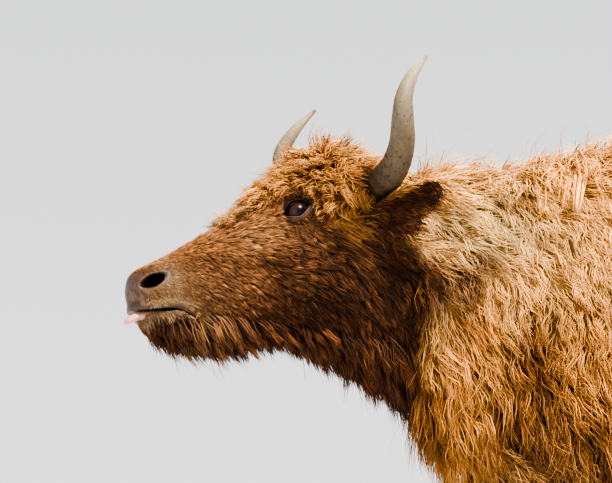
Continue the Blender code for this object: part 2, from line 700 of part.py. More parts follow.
def claw(name, leg_name, side, home, look):
    _, x, y = FEET[leg_name]
    base = (FORE_LEG if leg_name.startswith("leg_front") else HIND_LEG)[-1].back - CLAW_SECTIONS[0].back
    rings = []
    for height, back, half_x, half_y in CLAW_SECTIONS:
        ring = []
        for n in range(CLAW_SIDES):
            c, s = superellipse(2 * math.pi * n / CLAW_SIDES, 2.3)
            narrowing = 1 - 0.22 * max(0.0, -s)
            ring.append(Vector((x + side * CLAW_SPREAD + c * half_x * narrowing, y + base + back + s * half_y, height)))
        rings.append(ring)
    return add_object(name, ring_mesh(name, rings), home, look)


def tail(name, home, look):
    points = [Vector(p) for p in TAIL_PATH]
    return tube(name, points, TAIL_RADII, TAIL_SIDES, 1, home, look, facing=Vector((1, 0, 0)))


def build(home, looks):
    """Every node, each cut to meet its neighbours across the gap."""
    # Body: three stretches of one loft
    head = body_stretch("head", 0, HEAD_END, HEAD_SIDES, HEAD_STEPS, home, looks["brown_coat"])
    jaw = body_stretch("lower_jaw", 0, HEAD_END, HEAD_SIDES, HEAD_STEPS, home, looks["dark_coat"])
    neck = body_stretch("neck", HEAD_END, NECK_END, NECK_SIDES, NECK_STEPS, home, looks["golden_coat"])
    torso = body_stretch("torso", NECK_END, BODY_END, TORSO_SIDES, TORSO_STEPS, home, looks["golden_coat"])

    # Legs and claws
    for name in FEET:
        made = leg(name, home, looks["golden_coat"])
        combine(made, dewclaws(name, home), "UNION")
        for side in (-1, 1):
            place = "inner" if side * FEET[name][1] < 0 else "outer"
            claw(name.replace("leg", "hoof") + "_" + place, name, side, home, looks["claw"])

    # Parts that stand in sockets
    tail_node = tail("tail", home, looks["dark_coat"])
    tongue_node = tongue("tongue", home, looks["tongue"])
    sides = (("left", 1), ("right", -1))
    centres = {side: head_point(side * EYE_PLACE[0], EYE_PLACE[1], EYE_PLACE[2]) for _, side in sides}
    horns = {side: horn("horn_" + word, side, home, looks["horn"]) for word, side in sides}
    ears = {side: ear("ear_" + word, side, home, looks["brown_coat"]) for word, side in sides}
    for word, side in sides:
        ball("eye_" + word, centres[side], EYE_RADIUS, home, looks["eye"])

    # Head: curls and cheek locks, lids, then nostrils, sockets, mouth and the plane shared with the neck
    rng = random.Random(SEED)
    head_core, neck_core, torso_core, tail_core = (surface_of(made) for made in (head, neck, torso, tail_node))
    leg_trees = [surface_of(bpy.data.objects[name]) for name in FEET]
    poll = ball("poll", head_point(*POLL_PLACE), 1.0, home, rings=6, sides=8, squash=POLL_SIZE,
                axes=(HEAD_LEFT, HEAD_FORWARD, HEAD_UP))
    combine(head, [poll] + [ball("mound", centres[side], LID_RADIUS, home) for _, side in sides], "UNION")
    fringe = rows_of_locks(CHEEK_ROWS, JAW_BACK_PLACE, HEAD_END, CHEEK_SPACING, [head_core], home, rng)
    combine(head, fringe + curls(head_core, home, rng), "UNION")
    for _, side in sides:
        facing = head_direction(side * EYE_FACES[0], EYE_FACES[1], EYE_FACES[2])
        along = HEAD_FORWARD * math.cos(EYE_SLANT) + HEAD_UP * math.sin(EYE_SLANT)
        nostril_facing = head_direction(side * NOSTRIL_FACES[0], NOSTRIL_FACES[1], NOSTRIL_FACES[2])
        nostril = head_point(side * NOSTRIL_PLACE[0], NOSTRIL_PLACE[1], NOSTRIL_PLACE[2])
        combine(head, [
            ball("socket", centres[side], EYE_RADIUS + GAP * 1.3, home),
            almond("opening", centres[side], facing, along, EYE_OPENING_LENGTH, EYE_OPENING_HEIGHT, 0.006, 0.040, home),
            almond("nostril", nostril, nostril_facing, HEAD_FORWARD * 0.9 - HEAD_UP * 0.35,
                   NOSTRIL_LENGTH, NOSTRIL_HEIGHT, -0.016, 0.020, home, power=1.8, flare=1.05),
            grown(horns[side], home),
            grown(ears[side], home),
        ], "DIFFERENCE")
    head_plane, head_forward = parting_plane(HEAD_END)
    combine(head, [jaw_prism("jaw", home, GAP), grown(tongue_node, home),
                   half_space("behind", head_plane, -head_forward, home)], "DIFFERENCE")

    # Lower jaw
    combine(jaw, rows_of_locks(JAW_ROWS, 2.2, JAW_BACK_PLACE, JAW_SPACING, [head_core], home, rng), "UNION")
    combine(jaw, [jaw_prism("jaw", home)], "INTERSECT")
    lip_plane = head_point(0, LOWER_LIP_BACK, 0)
    combine(jaw, [grown(tongue_node, home), half_space("lip", lip_plane, head_forward, home)], "DIFFERENCE")

    # Neck
    shoulder_plane, shoulder_forward = parting_plane(NECK_END)
    combine(neck, rows_of_locks(NECK_ROWS, HEAD_END + 0.1, NECK_END - 0.1, NECK_SPACING, [neck_core], home, rng), "UNION")
    combine(neck, [half_space("before", head_plane, head_forward, home),
                   half_space("behind", shoulder_plane, -shoulder_forward, home)]
            + [grown(made, home) for made in list(horns.values()) + list(ears.values())], "DIFFERENCE")

    # Torso
    legs = [bpy.data.objects[name] for name in FEET]
    combine(torso, rows_of_locks(TORSO_ROWS, NECK_END + 0.05, BODY_END - 0.6, TORSO_SPACING, [torso_core] + leg_trees,
                                 home, rng), "UNION")
    combine(torso, [grown(made, home) for made in legs + [tail_node]]
            + [half_space("before", shoulder_plane, shoulder_forward, home),
               half_space("behind", Vector((0, TAIL_FRONT, 0.6)), Vector((0, 1, 0)), home)], "DIFFERENCE")

    # Tail
    locks = []
    for number, (row, height) in enumerate(zip(TAIL_ROWS, TAIL_ROW_HEIGHTS)):
        for k in range(TAIL_LOCKS_ROUND):
            turn = 2 * math.pi * (k + 0.5 * (number % 2)) / TAIL_LOCKS_ROUND
            outward = Vector((math.sin(turn), math.cos(turn), 0))
            if outward.y < -0.45:
                continue
            middle = Vector((0, TAIL_PATH[4][1], height))
            near, normal, _, _ = tail_core.ray_cast(middle + outward * 0.3, -outward)
            locks.append(lock([tail_core], near, normal, Vector((0, 0, -1)), row, home, rng.uniform(0.9, 1.1)))
    combine(tail_node, locks, "UNION")


def centre_on_origin(objects):
    """Moves everything so that the middle of its bounding box is over the origin."""
    spots = [vert.co for obj in objects for vert in obj.data.vertices]
    middle = [(min(spot[k] for spot in spots) + max(spot[k] for spot in spots)) / 2 for k in (0, 1)]
    for obj in objects:
        obj.data.transform(Matrix.Translation((-middle[0], -middle[1], 0)))


def main():
    clear_scene()
    home = bpy.context.scene.collection
    looks = {
        "brown_coat": material("brown_coat", (0.30, 0.15, 0.07), 0.9),
        "dark_coat": material("dark_coat", (0.12, 0.06, 0.03), 0.9),
        "golden_coat": material("golden_coat", (0.75, 0.50, 0.24), 0.9),
        "horn": material("horn", (0.50, 0.46, 0.36), 0.5),
        "claw": material("claw", (0.10, 0.08, 0.07), 0.6),
        "eye": material("eye", (0.03, 0.02, 0.02), 0.08),
        "tongue": material("tongue", (0.75, 0.50, 0.45), 0.4),
    }
    build(home, looks)
    centre_on_origin(list(home.objects))


main()
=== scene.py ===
"""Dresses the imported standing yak: one skin over all flesh, a coat of mesh tufts that follows its lie,
horns, eyes, claws and tongue, then the floor, lights and camera.

Metres, +Z up, nose towards -Y, the animal's left side towards +X.
"""
import math
from collections import namedtuple

import bmesh
import bpy
import numpy as np
from bpy.props import FloatProperty, FloatVectorProperty, IntProperty
from mathutils import Matrix, Vector, kdtree
from mathutils.bvhtree import BVHTree


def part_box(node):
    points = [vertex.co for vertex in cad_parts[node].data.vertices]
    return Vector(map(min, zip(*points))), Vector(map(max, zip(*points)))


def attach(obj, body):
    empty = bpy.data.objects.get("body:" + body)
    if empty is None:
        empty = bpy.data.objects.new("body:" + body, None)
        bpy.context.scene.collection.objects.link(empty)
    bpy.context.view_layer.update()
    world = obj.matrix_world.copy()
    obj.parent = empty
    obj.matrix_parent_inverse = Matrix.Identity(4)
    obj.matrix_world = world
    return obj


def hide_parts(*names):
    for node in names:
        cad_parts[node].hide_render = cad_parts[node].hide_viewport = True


bl_info = {
    "name": "Standing yak",
    "version": (1, 0, 0),
    "blender": (4, 5, 0),
    "location": "3D View > Sidebar > Yak",
    "description": "Skin, coat, horns, eyes and claws of a life-size standing yak",
    "category": "Object",
}

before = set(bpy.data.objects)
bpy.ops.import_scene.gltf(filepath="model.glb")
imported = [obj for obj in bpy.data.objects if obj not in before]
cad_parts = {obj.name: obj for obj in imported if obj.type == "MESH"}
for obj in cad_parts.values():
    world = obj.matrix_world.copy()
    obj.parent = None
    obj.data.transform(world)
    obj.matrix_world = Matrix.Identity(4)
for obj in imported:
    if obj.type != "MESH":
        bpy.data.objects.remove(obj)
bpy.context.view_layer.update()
SIDES = (("left", 1), ("right", -1))

# The head's own frame: its origin is the middle of the nose, and it looks forward, left and up
HEAD_YAW = math.radians(23.5)
HEAD_PITCH = math.radians(13.2)
FORWARD = np.array((math.sin(HEAD_YAW) * math.cos(HEAD_PITCH), -math.cos(HEAD_YAW) * math.cos(HEAD_PITCH),
                    -math.sin(HEAD_PITCH)))
LEFT = np.array((math.cos(HEAD_YAW), math.sin(HEAD_YAW), 0.0))
UP = np.cross(FORWARD, LEFT)
EYE_PLACE = (0.080, 0.300, 0.060)
EYE_RADIUS = 0.021
NOSE_BEFORE_CENTRING = np.array((0.24, -1.322, 0.881))
DOWN = np.array((0.0, 0.0, -1.0))
BACKWARDS = np.array((0.0, 1.0, 0.0))
SIDEWAYS = np.array((1.0, 0.0, 0.0))


def centring():
    """How far the source moved the animal to stand over the origin, read from the left eye."""
    low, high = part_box("eye_left")
    eye = (np.array(low) + np.array(high)) / 2
    l, g, u = EYE_PLACE
    return eye - (NOSE_BEFORE_CENTRING + LEFT * l - FORWARD * g + UP * u)


SHIFT = centring()
NOSE = NOSE_BEFORE_CENTRING + SHIFT

# Sections of the skin: back from the nose or middle on the floor plan, heights, half width, squareness
HeadSection = namedtuple("HeadSection", "back top wide low half upper lower")
HEAD_SECTIONS = [
    HeadSection(-0.002, -0.012, -0.030, -0.050, 0.022, 2.2, 2.2),
    HeadSection(0.005, 0.007, -0.030, -0.068, 0.040, 2.4, 2.4),
    HeadSection(0.018, 0.017, -0.032, -0.088, 0.052, 2.5, 2.4),
    HeadSection(0.040, 0.024, -0.034, -0.103, 0.059, 2.5, 2.3),
    HeadSection(0.075, 0.033, -0.038, -0.112, 0.060, 2.3, 2.2),
    HeadSection(0.120, 0.047, -0.036, -0.117, 0.058, 2.2, 2.0),
    HeadSection(0.180, 0.066, -0.028, -0.127, 0.065, 2.2, 1.9),
    HeadSection(0.240, 0.090, -0.006, -0.143, 0.081, 2.3, 1.8),
    HeadSection(0.295, 0.111, 0.028, -0.162, 0.095, 2.5, 1.8),
    HeadSection(0.350, 0.127, 0.036, -0.190, 0.103, 2.5, 1.8),
    HeadSection(0.405, 0.134, 0.026, -0.228, 0.106, 2.4, 1.8),
    HeadSection(0.480, 0.122, 0.000, -0.280, 0.107, 2.2, 1.8),
]
BodySection = namedtuple("BodySection", "x y turn tilt top wide low half upper lower")
BODY_SECTIONS = [
    BodySection(0.042, -0.832, 14, -4, 1.082, 0.920, 0.668, 0.113, 2.0, 1.8),
    BodySection(0.022, -0.760, 8, 0, 1.086, 0.880, 0.604, 0.124, 1.9, 1.8),
    BodySection(0.008, -0.670, 3, 0, 1.100, 0.830, 0.534, 0.144, 1.8, 1.8),
    BodySection(0.000, -0.580, 0, 0, 1.120, 0.785, 0.462, 0.172, 1.8, 1.9),
    BodySection(0.000, -0.490, 0, 0, 1.142, 0.755, 0.420, 0.206, 1.8, 2.0),
    BodySection(0.000, -0.380, 0, 0, 1.165, 0.740, 0.400, 0.240, 1.7, 2.1),
    BodySection(0.000, -0.250, 0, 0, 1.176, 0.730, 0.395, 0.262, 1.7, 2.2),
    BodySection(0.000, -0.100, 0, 0, 1.158, 0.720, 0.395, 0.284, 1.8, 2.2),
    BodySection(0.000, 0.060, 0, 0, 1.108, 0.712, 0.397, 0.300, 2.0, 2.2),
    BodySection(0.000, 0.220, 0, 0, 1.074, 0.712, 0.407, 0.302, 2.1, 2.2),
    BodySection(0.000, 0.360, 0, 0, 1.064, 0.730, 0.437, 0.287, 2.2, 2.2),
    BodySection(0.000, 0.480, 0, 0, 1.056, 0.760, 0.490, 0.262, 2.3, 2.2),
    BodySection(0.000, 0.590, 0, 0, 1.030, 0.780, 0.555, 0.222, 2.3, 2.2),
    BodySection(0.000, 0.670, 0, 0, 0.982, 0.790, 0.622, 0.172, 2.2, 2.2),
    BodySection(0.000, 0.717, 0, 0, 0.925, 0.790, 0.682, 0.116, 2.1, 2.1),
    BodySection(0.000, 0.737, 0, 0, 0.862, 0.790, 0.735, 0.055, 2.0, 2.0),
]

# Mouth, nostrils and lids in the head's frame
MOUTH_LINE = [(-0.060, -0.053), (-0.010, -0.054), (0.020, -0.057), (0.055, -0.060), (0.080, -0.073)]
MOUTH_GAPS = [0.012, 0.011, 0.008, 0.004, 0.0012]
NOSTRIL_PLACE = (0.046, 0.026, -0.008)
NOSTRIL_SIZE = (0.046, 0.0225)
NOSTRIL_INWARD = (0.75, -0.70, 0.10)
NOSTRIL_POWER = 1.8
LID_RADIUS = 0.0250
EYE_FACES = (0.92, 0.34, 0.16)
EYE_OPENING = (0.0490, 0.0330)
EYE_SLANT = math.radians(-8)
EYE_LIFT = 0.0040
LID_EDGE = 0.0013
LID_POWER = 1.45
SOCKET_GAP = 0.0003
TONGUE_PATH = [(0.002, 0.075, -0.067), (0.004, 0.030, -0.061), (0.008, 0.000, -0.0605),
               (0.011, -0.012, -0.0622), (0.013, -0.020, -0.0655)]
TONGUE_HALF_WIDTHS = [0.020, 0.020, 0.019, 0.017, 0.012]
TONGUE_FLATNESS = [0.34, 0.34, 0.36, 0.42, 0.44]
TONGUE_CAP = ((0.90, 0.0022), (0.66, 0.0042), (0.34, 0.0054))
TONGUE_TIP = 0.0058
TONGUE_GROOVE = 0.0012
HORN_PATH = [(0.070, 0.436, 0.068), (0.105, 0.440, 0.077), (0.150, 0.446, 0.086), (0.192, 0.450, 0.105),
             (0.230, 0.450, 0.135), (0.257, 0.447, 0.172), (0.264, 0.455, 0.208), (0.252, 0.486, 0.244),
             (0.236, 0.528, 0.273)]
HORN_RADII = [0.028, 0.028, 0.0265, 0.0245, 0.022, 0.019, 0.015, 0.010, 0.0025]
HORN_SIDES = 48
HORN_STEPS = 18
# The share of the horn that the rings would fill, and the fine grooves along the whole of it
HORN_RINGED = 0.42
HORN_GROOVES = 41
HORN_TIP_LENGTH = 0.001
HORN_TIP_RADIUS = 0.0006
EAR_PATH = [(0.082, 0.404, 0.002), (0.112, 0.422, 0.012), (0.142, 0.446, 0.024), (0.168, 0.474, 0.036),
            (0.188, 0.500, 0.046), (0.202, 0.519, 0.053)]
EAR_HALF_WIDTHS = [0.014, 0.022, 0.031, 0.033, 0.025, 0.008]
EAR_FACES = (0.50, 0.62, -0.42)
EAR_CUP = 0.62
EAR_THICKNESS = 0.006

# Legs, claws and tail
LegSection = namedtuple("LegSection", "height back half_x half_y")
FORE_LEG = [
    LegSection(0.600, 0.012, 0.062, 0.090), LegSection(0.500, 0.008, 0.062, 0.082),
    LegSection(0.420, 0.002, 0.052, 0.064), LegSection(0.355, -0.003, 0.043, 0.050),
    LegSection(0.310, -0.006, 0.045, 0.052), LegSection(0.265, -0.002, 0.037, 0.042),
    LegSection(0.200, 0.004, 0.031, 0.036), LegSection(0.145, 0.006, 0.035, 0.041),
    LegSection(0.112, 0.003, 0.040, 0.047), LegSection(0.082, -0.012, 0.038, 0.045),
    LegSection(0.060, -0.026, 0.046, 0.055),
]
HIND_LEG = [
    LegSection(0.690, -0.030, 0.070, 0.130), LegSection(0.600, -0.018, 0.072, 0.122),
    LegSection(0.520, 0.016, 0.060, 0.092), LegSection(0.455, 0.048, 0.047, 0.066),
    LegSection(0.400, 0.062, 0.041, 0.055), LegSection(0.345, 0.057, 0.038, 0.048),
    LegSection(0.270, 0.044, 0.032, 0.040), LegSection(0.200, 0.034, 0.031, 0.038),
    LegSection(0.145, 0.027, 0.035, 0.042), LegSection(0.112, 0.022, 0.040, 0.048),
    LegSection(0.082, 0.006, 0.038, 0.045), LegSection(0.060, -0.010, 0.046, 0.055),
]
FEET = {
    "leg_front_left": (FORE_LEG, 0.155, -0.385), "leg_front_right": (FORE_LEG, -0.155, -0.325),
    "leg_hind_left": (HIND_LEG, 0.150, 0.525), "leg_hind_right": (HIND_LEG, -0.150, 0.455),
}
LEG_LEAN = 0.05
LEG_SIDES = 36
LEG_FUR_DEPTH = 0.003
CLAW_SECTIONS = [
    LegSection(0.0597, -0.026, 0.0205, 0.048), LegSection(0.045, -0.029, 0.0212, 0.051),
    LegSection(0.030, -0.033, 0.0220, 0.054), LegSection(0.005, -0.039, 0.0230, 0.058),
    LegSection(0.000, -0.039, 0.0222, 0.0568),
]
CLAW_SPREAD = 0.0245
CLAW_SIDES = 40
CLAW_ROWS = 33
# Dewclaws behind the pastern: out from its middle, back from it, and height
DEWCLAW_PATH = [(0.018, 0.026, 0.110), (0.021, 0.041, 0.098), (0.022, 0.046, 0.082)]
DEWCLAW_RADII = [0.0115, 0.0115, 0.0060]
DEWCLAW_CAP = ((0.8, 0.003), (0.4, 0.005))
TAIL_PATH = [(0, 0.690, 0.900), (0, 0.768, 0.906), (0, 0.824, 0.865), (0, 0.846, 0.770), (0, 0.850, 0.620),
             (0, 0.848, 0.470), (0, 0.845, 0.330), (0, 0.842, 0.230)]
TAIL_RADII = [0.030, 0.030, 0.030, 0.028, 0.026, 0.022, 0.018, 0.010]


def head_point(l, g, u):
    return NOSE + LEFT * l - FORWARD * g + UP * u


def head_direction(l, f, u):
    way = LEFT * l + FORWARD * f + UP * u
    return way / np.linalg.norm(way)


def in_head(points):
    """Left, back and up of world points in the head's frame."""
    away = points - NOSE
    return away @ LEFT, -(away @ FORWARD), away @ UP


def slit_frame(place, side, facing, along):
    """A slit's middle, the way it faces, and the ways along it and over it."""
    along = along - facing * (along @ facing)
    along = along / np.linalg.norm(along)
    over = np.cross(facing, along)
    return head_point(side * place[0], place[1], place[2]), facing, along, over * math.copysign(1, over[2])


def eye_frame(side):
    """An eye's centre, and the ways it faces, along its slit and over it."""
    facing = head_direction(side * EYE_FACES[0], EYE_FACES[1], EYE_FACES[2])
    return slit_frame(EYE_PLACE, side, facing, FORWARD * math.cos(EYE_SLANT) + UP * math.sin(EYE_SLANT))


def nostril_frame(side):
    """A nostril's middle, and the ways into it, along its slit and over it."""
    inward = head_direction(-side * NOSTRIL_INWARD[0], NOSTRIL_INWARD[1], NOSTRIL_INWARD[2])
    return slit_frame(NOSTRIL_PLACE, side, inward, FORWARD * 0.96 - UP * 0.20)


def lip_line(g):
    """Height of the line between the lips, at distances back from the nose."""
    return np.interp(g, [p[0] for p in MOUTH_LINE], [p[1] for p in MOUTH_LINE])


def oval(points, middle, along, over, length, height):
    """How far points stand from a slit's middle, as a share of the slit's own size."""
    away = points - middle
    return np.sqrt((away @ along / (length / 2)) ** 2 + (away @ over / (height / 2)) ** 2)


def smoothstep(low, high, value):
    t = np.clip((value - low) / (high - low), 0.0, 1.0)
    return t * t * (3 - 2 * t)


def bell(value, middle, width):
    return np.exp(-(((value - middle) / width) ** 2))


def blob(l, g, u, centre, radii, sharpness=1.0):
    """A soft oval round a place on the head, alike on both sides: one in its middle, nothing far off."""
    reach = zip((np.abs(l), g, u), centre, radii)
    return np.exp(-sum(((value - middle) / radius) ** 2 for value, middle, radius in reach) * sharpness)


def unit(vectors):
    return vectors / np.maximum(np.linalg.norm(vectors, axis=-1, keepdims=True), 1e-9)


def spline(values, places):
    """Catmull-Rom through rows of values that stand at 0, 1, 2 and so on."""
    values = np.asarray(values, float)
    places = np.atleast_1d(np.asarray(places, float))
    index = np.clip(places.astype(int), 0, len(values) - 2)
    t = places - index
    if values.ndim > 1:
        t = t[:, None]
    before = values[np.maximum(index - 1, 0)]
    first, second = values[index], values[index + 1]
    after = values[np.minimum(index + 2, len(values) - 1)]
    return (first * (1 - t) ** 2 * (1 + 2 * t) + second * t**2 * (3 - 2 * t)
            + (second - before) * 0.5 * t * (1 - t) ** 2 - (after - first) * 0.5 * t**2 * (1 - t))


def spine_columns():
    rows = []
    for s in HEAD_SECTIONS:
        rows.append((*head_point(0, s.back, s.wide), HEAD_YAW, -HEAD_PITCH, s.half,
                     s.top - s.wide, s.wide - s.low, s.upper, s.lower))
    for s in BODY_SECTIONS:
        tilt = math.radians(s.tilt)
        rows.append((s.x + SHIFT[0], s.y + SHIFT[1], s.wide + SHIFT[2], math.radians(s.turn), tilt, s.half,
                     (s.top - s.wide) / math.cos(tilt), (s.wide - s.low) / math.cos(tilt),
                     s.upper, s.lower))
    return np.array(rows)


SPINE = spine_columns()
LAST_PLACE = len(SPINE) - 1


def superellipse(angle, power):
    c, s = np.cos(angle), np.sin(angle)
    return np.sign(c) * np.abs(c) ** (2 / power), np.sign(s) * np.abs(s) ** (2 / power)


def body_rings(places, angles):
    """Rings of the skin at places along the spine: an array of rings by points by three."""
    rows = spline(SPINE, places)
    turn, tilt = rows[:, 3:4], rows[:, 4:5]
    left = np.concatenate((np.cos(turn), np.sin(turn), np.zeros_like(turn)), 1)
    forward = np.concatenate((np.sin(turn) * np.cos(tilt), -np.cos(turn) * np.cos(tilt), np.sin(tilt)), 1)
    up = np.cross(forward, left)
    power = np.where(np.sin(angles)[None] >= 0, rows[:, 8:9], rows[:, 9:10])
    across, height = superellipse(angles[None], power)
    reach = np.where(height >= 0, rows[:, 6:7], rows[:, 7:8])
    return (rows[:, None, :3] + left[:, None] * (across * rows[:, 5:6])[..., None]
            + up[:, None] * (height * reach)[..., None])


def grid_mesh(rings, first_tip=None, last_tip=None):
    """Vertices and triangles of a closed surface through rings, closed by tips or by the ring's middle."""
    count, sides = rings.shape[:2]
    vertices = rings.reshape(-1, 3)
    ring = np.arange(sides)
    following = (ring + 1) % sides
    base = (np.arange(count - 1) * sides)[:, None]
    a, b = base + ring, base + following
    triangles = np.concatenate((np.stack((a, b, b + sides), -1).reshape(-1, 3),
                                np.stack((a, b + sides, a + sides), -1).reshape(-1, 3)))
    first_tip = rings[0].mean(0) if first_tip is None else first_tip
    last_tip = rings[-1].mean(0) if last_tip is None else last_tip
    start, end = len(vertices), len(vertices) + 1
    last = (count - 1) * sides
    caps = np.concatenate((np.stack((following, ring, np.full(sides, start)), -1),
                           np.stack((last + ring, last + following, np.full(sides, end)), -1)))
    return np.vstack((vertices, first_tip, last_tip)), np.concatenate((triangles, caps))


def mesh_from(name, vertices, triangles):
    mesh = bpy.data.meshes.new(name)
    mesh.vertices.add(len(vertices))
    mesh.vertices.foreach_set("co", np.asarray(vertices, np.float32).ravel())
    mesh.loops.add(triangles.size)
    mesh.loops.foreach_set("vertex_index", triangles.astype(np.int32).ravel())
    mesh.polygons.add(len(triangles))
    mesh.polygons.foreach_set("loop_start", np.arange(0, triangles.size, 3, dtype=np.int32))
    mesh.polygons.foreach_set("use_smooth", np.full(len(triangles), True))
    mesh.update(calc_edges=True)
    return mesh


def outward(mesh):
    """Turns a closed mesh's faces to point out."""
    work = bmesh.new()
    work.from_mesh(mesh)
    work.normal_update()
    bmesh.ops.recalc_face_normals(work, faces=work.faces)
    if work.calc_volume(signed=True) < 0:
        bmesh.ops.reverse_faces(work, faces=work.faces)
    work.to_mesh(mesh)
    work.free()
    return mesh


def place_object(name, mesh, material=None):
    obj = bpy.data.objects.new(name, mesh)
    bpy.context.scene.collection.objects.link(obj)
    if material:
        mesh.materials.append(material)
    return obj


def solid(name, rings, first_tip=None, last_tip=None, material=None):
    return place_object(name, outward(mesh_from(name, *grid_mesh(rings, first_tip, last_tip))), material)


def tube_rings(points, radii, sides, steps, facing, flatness=None):
    """Rings round a smooth path. Flatness thins the section along facing, place by place."""
    places = np.linspace(0, len(points) - 1, (len(points) - 1) * steps + 1)
    spots = spline(points, places)
    radius = spline(radii, places)
    flatten = 1.0 if flatness is None else spline(flatness, places)
    ahead = unit(np.gradient(spots, axis=0))
    side = unit(np.cross(ahead, facing))
    thin = np.cross(side, ahead)
    angle = np.linspace(0, 2 * math.pi, sides, endpoint=False)
    return (spots[:, None] + side[:, None] * (np.cos(angle)[None] * radius[:, None])[..., None]
            + thin[:, None] * (np.sin(angle)[None] * (radius * flatten)[:, None])[..., None]), places


def apply_boolean(obj, pieces, operation):
    """One Boolean of the object with closed meshes, applied, and the pieces removed."""
    group = bpy.data.collections.new(obj.name + "_pieces")
    bpy.context.scene.collection.children.link(group)
    for piece in pieces:
        bpy.context.scene.collection.objects.unlink(piece)
        group.objects.link(piece)
    modifier = obj.modifiers.new(operation.lower(), "BOOLEAN")
    modifier.operation = operation
    modifier.operand_type = "COLLECTION"
    modifier.collection = group
    modifier.solver = "MANIFOLD"
    bpy.context.view_layer.update()
    evaluated = obj.evaluated_get(bpy.context.evaluated_depsgraph_get())
    mesh = bpy.data.meshes.new_from_object(evaluated)
    obj.modifiers.clear()
    obj.data = mesh
    for piece in pieces:
        bpy.data.objects.remove(piece)
    bpy.data.collections.remove(group)


# Skin

SKIN_SIDES = 176
# Rings of the skin from one section to another, closest round the mouth, nostrils and eyes
RING_PLACES = ((0, 3, 14), (3, 9, 90), (9, 11, 34), (11, 16, 44), (16, LAST_PLACE, 74))
NOSE_CAP = ((0.30, 0.0050), (0.62, 0.0042), (0.86, 0.0024))
RUMP_CAP = ((0.7, 0.006), (0.3, 0.009))


def domed(ring, ahead, steps):
    """Smaller copies of a ring, each pushed ahead, that round off the end of a shape."""
    middle = ring.mean(0)
    return [middle + (ring - middle) * scale + ahead * push for scale, push in steps]


def nose_to_rump():
    """The skin of head, neck and torso: fine rings on the head, wider ones behind it."""
    angles = np.linspace(0, 2 * math.pi, SKIN_SIDES, endpoint=False)
    # Each run but the first leaves out the place that it shares with the run before
    places = np.concatenate([np.linspace(first, last, count)[min(first, 1):]
                             for first, last, count in RING_PLACES])
    rings = body_rings(places, angles)
    return np.concatenate((domed(rings[0], FORWARD, NOSE_CAP), rings,
                           domed(rings[-1], BACKWARDS, RUMP_CAP)))


def bump(l, g, u, centre, radii, height):
    """A soft mound: how far a point of the head moves out, alike on both sides."""
    return height * blob(l, g, u, centre, radii, 1.6)


# Mounds and hollows of the head: middle, reach and height
MOUNDS = [
    ((0.000, 0.395, 0.135), (0.090, 0.075, 0.070), 0.0240),   # poll
    ((0.000, 0.290, 0.105), (0.080, 0.050, 0.050), 0.0070),   # forehead
    ((0.100, 0.292, 0.096), (0.030, 0.044, 0.016), 0.0085),   # brow
    ((0.088, 0.335, -0.055), (0.040, 0.075, 0.060), 0.0080),  # cheek
    ((0.078, 0.262, 0.000), (0.022, 0.090, 0.014), 0.0045),   # cheekbone
    ((0.066, 0.205, -0.020), (0.030, 0.055, 0.026), -0.0060),  # hollow under the cheekbone
    ((0.104, 0.350, 0.030), (0.030, 0.030, 0.024), -0.0045),  # temple
    ((0.052, 0.160, 0.014), (0.020, 0.090, 0.012), 0.0030),   # edge of the bridge
    ((0.044, 0.034, 0.011), (0.020, 0.026, 0.012), 0.0088),   # nostril's upper wing
    ((0.050, 0.004, -0.012), (0.014, 0.012, 0.020), 0.0045),  # nostril's front wing
    ((0.050, 0.060, -0.034), (0.024, 0.034, 0.014), 0.0052),  # upper lip
    ((0.046, 0.050, -0.078), (0.030, 0.034, 0.014), 0.0036),  # lower lip
    ((0.000, 0.040, -0.104), (0.050, 0.050, 0.030), 0.0040),  # chin
]


# Folds round the eye: distance from its middle, width and height. Two lie over it and one fine one below
UPPER_FOLDS = ((0.0262, 0.0022, -0.0022), (0.0302, 0.0026, 0.0022),
               (0.0355, 0.0022, -0.0012), (0.0400, 0.0030, 0.0016))
LOWER_FOLDS = ((0.0250, 0.0024, -0.0012), (0.0290, 0.0026, 0.0010))
TROUGH_DEPTH = 0.0022
MOUTH_CORNER = (0.080, -0.073)
CREASE_SPACING = 0.0075
CREASE_HEIGHT = 0.0011


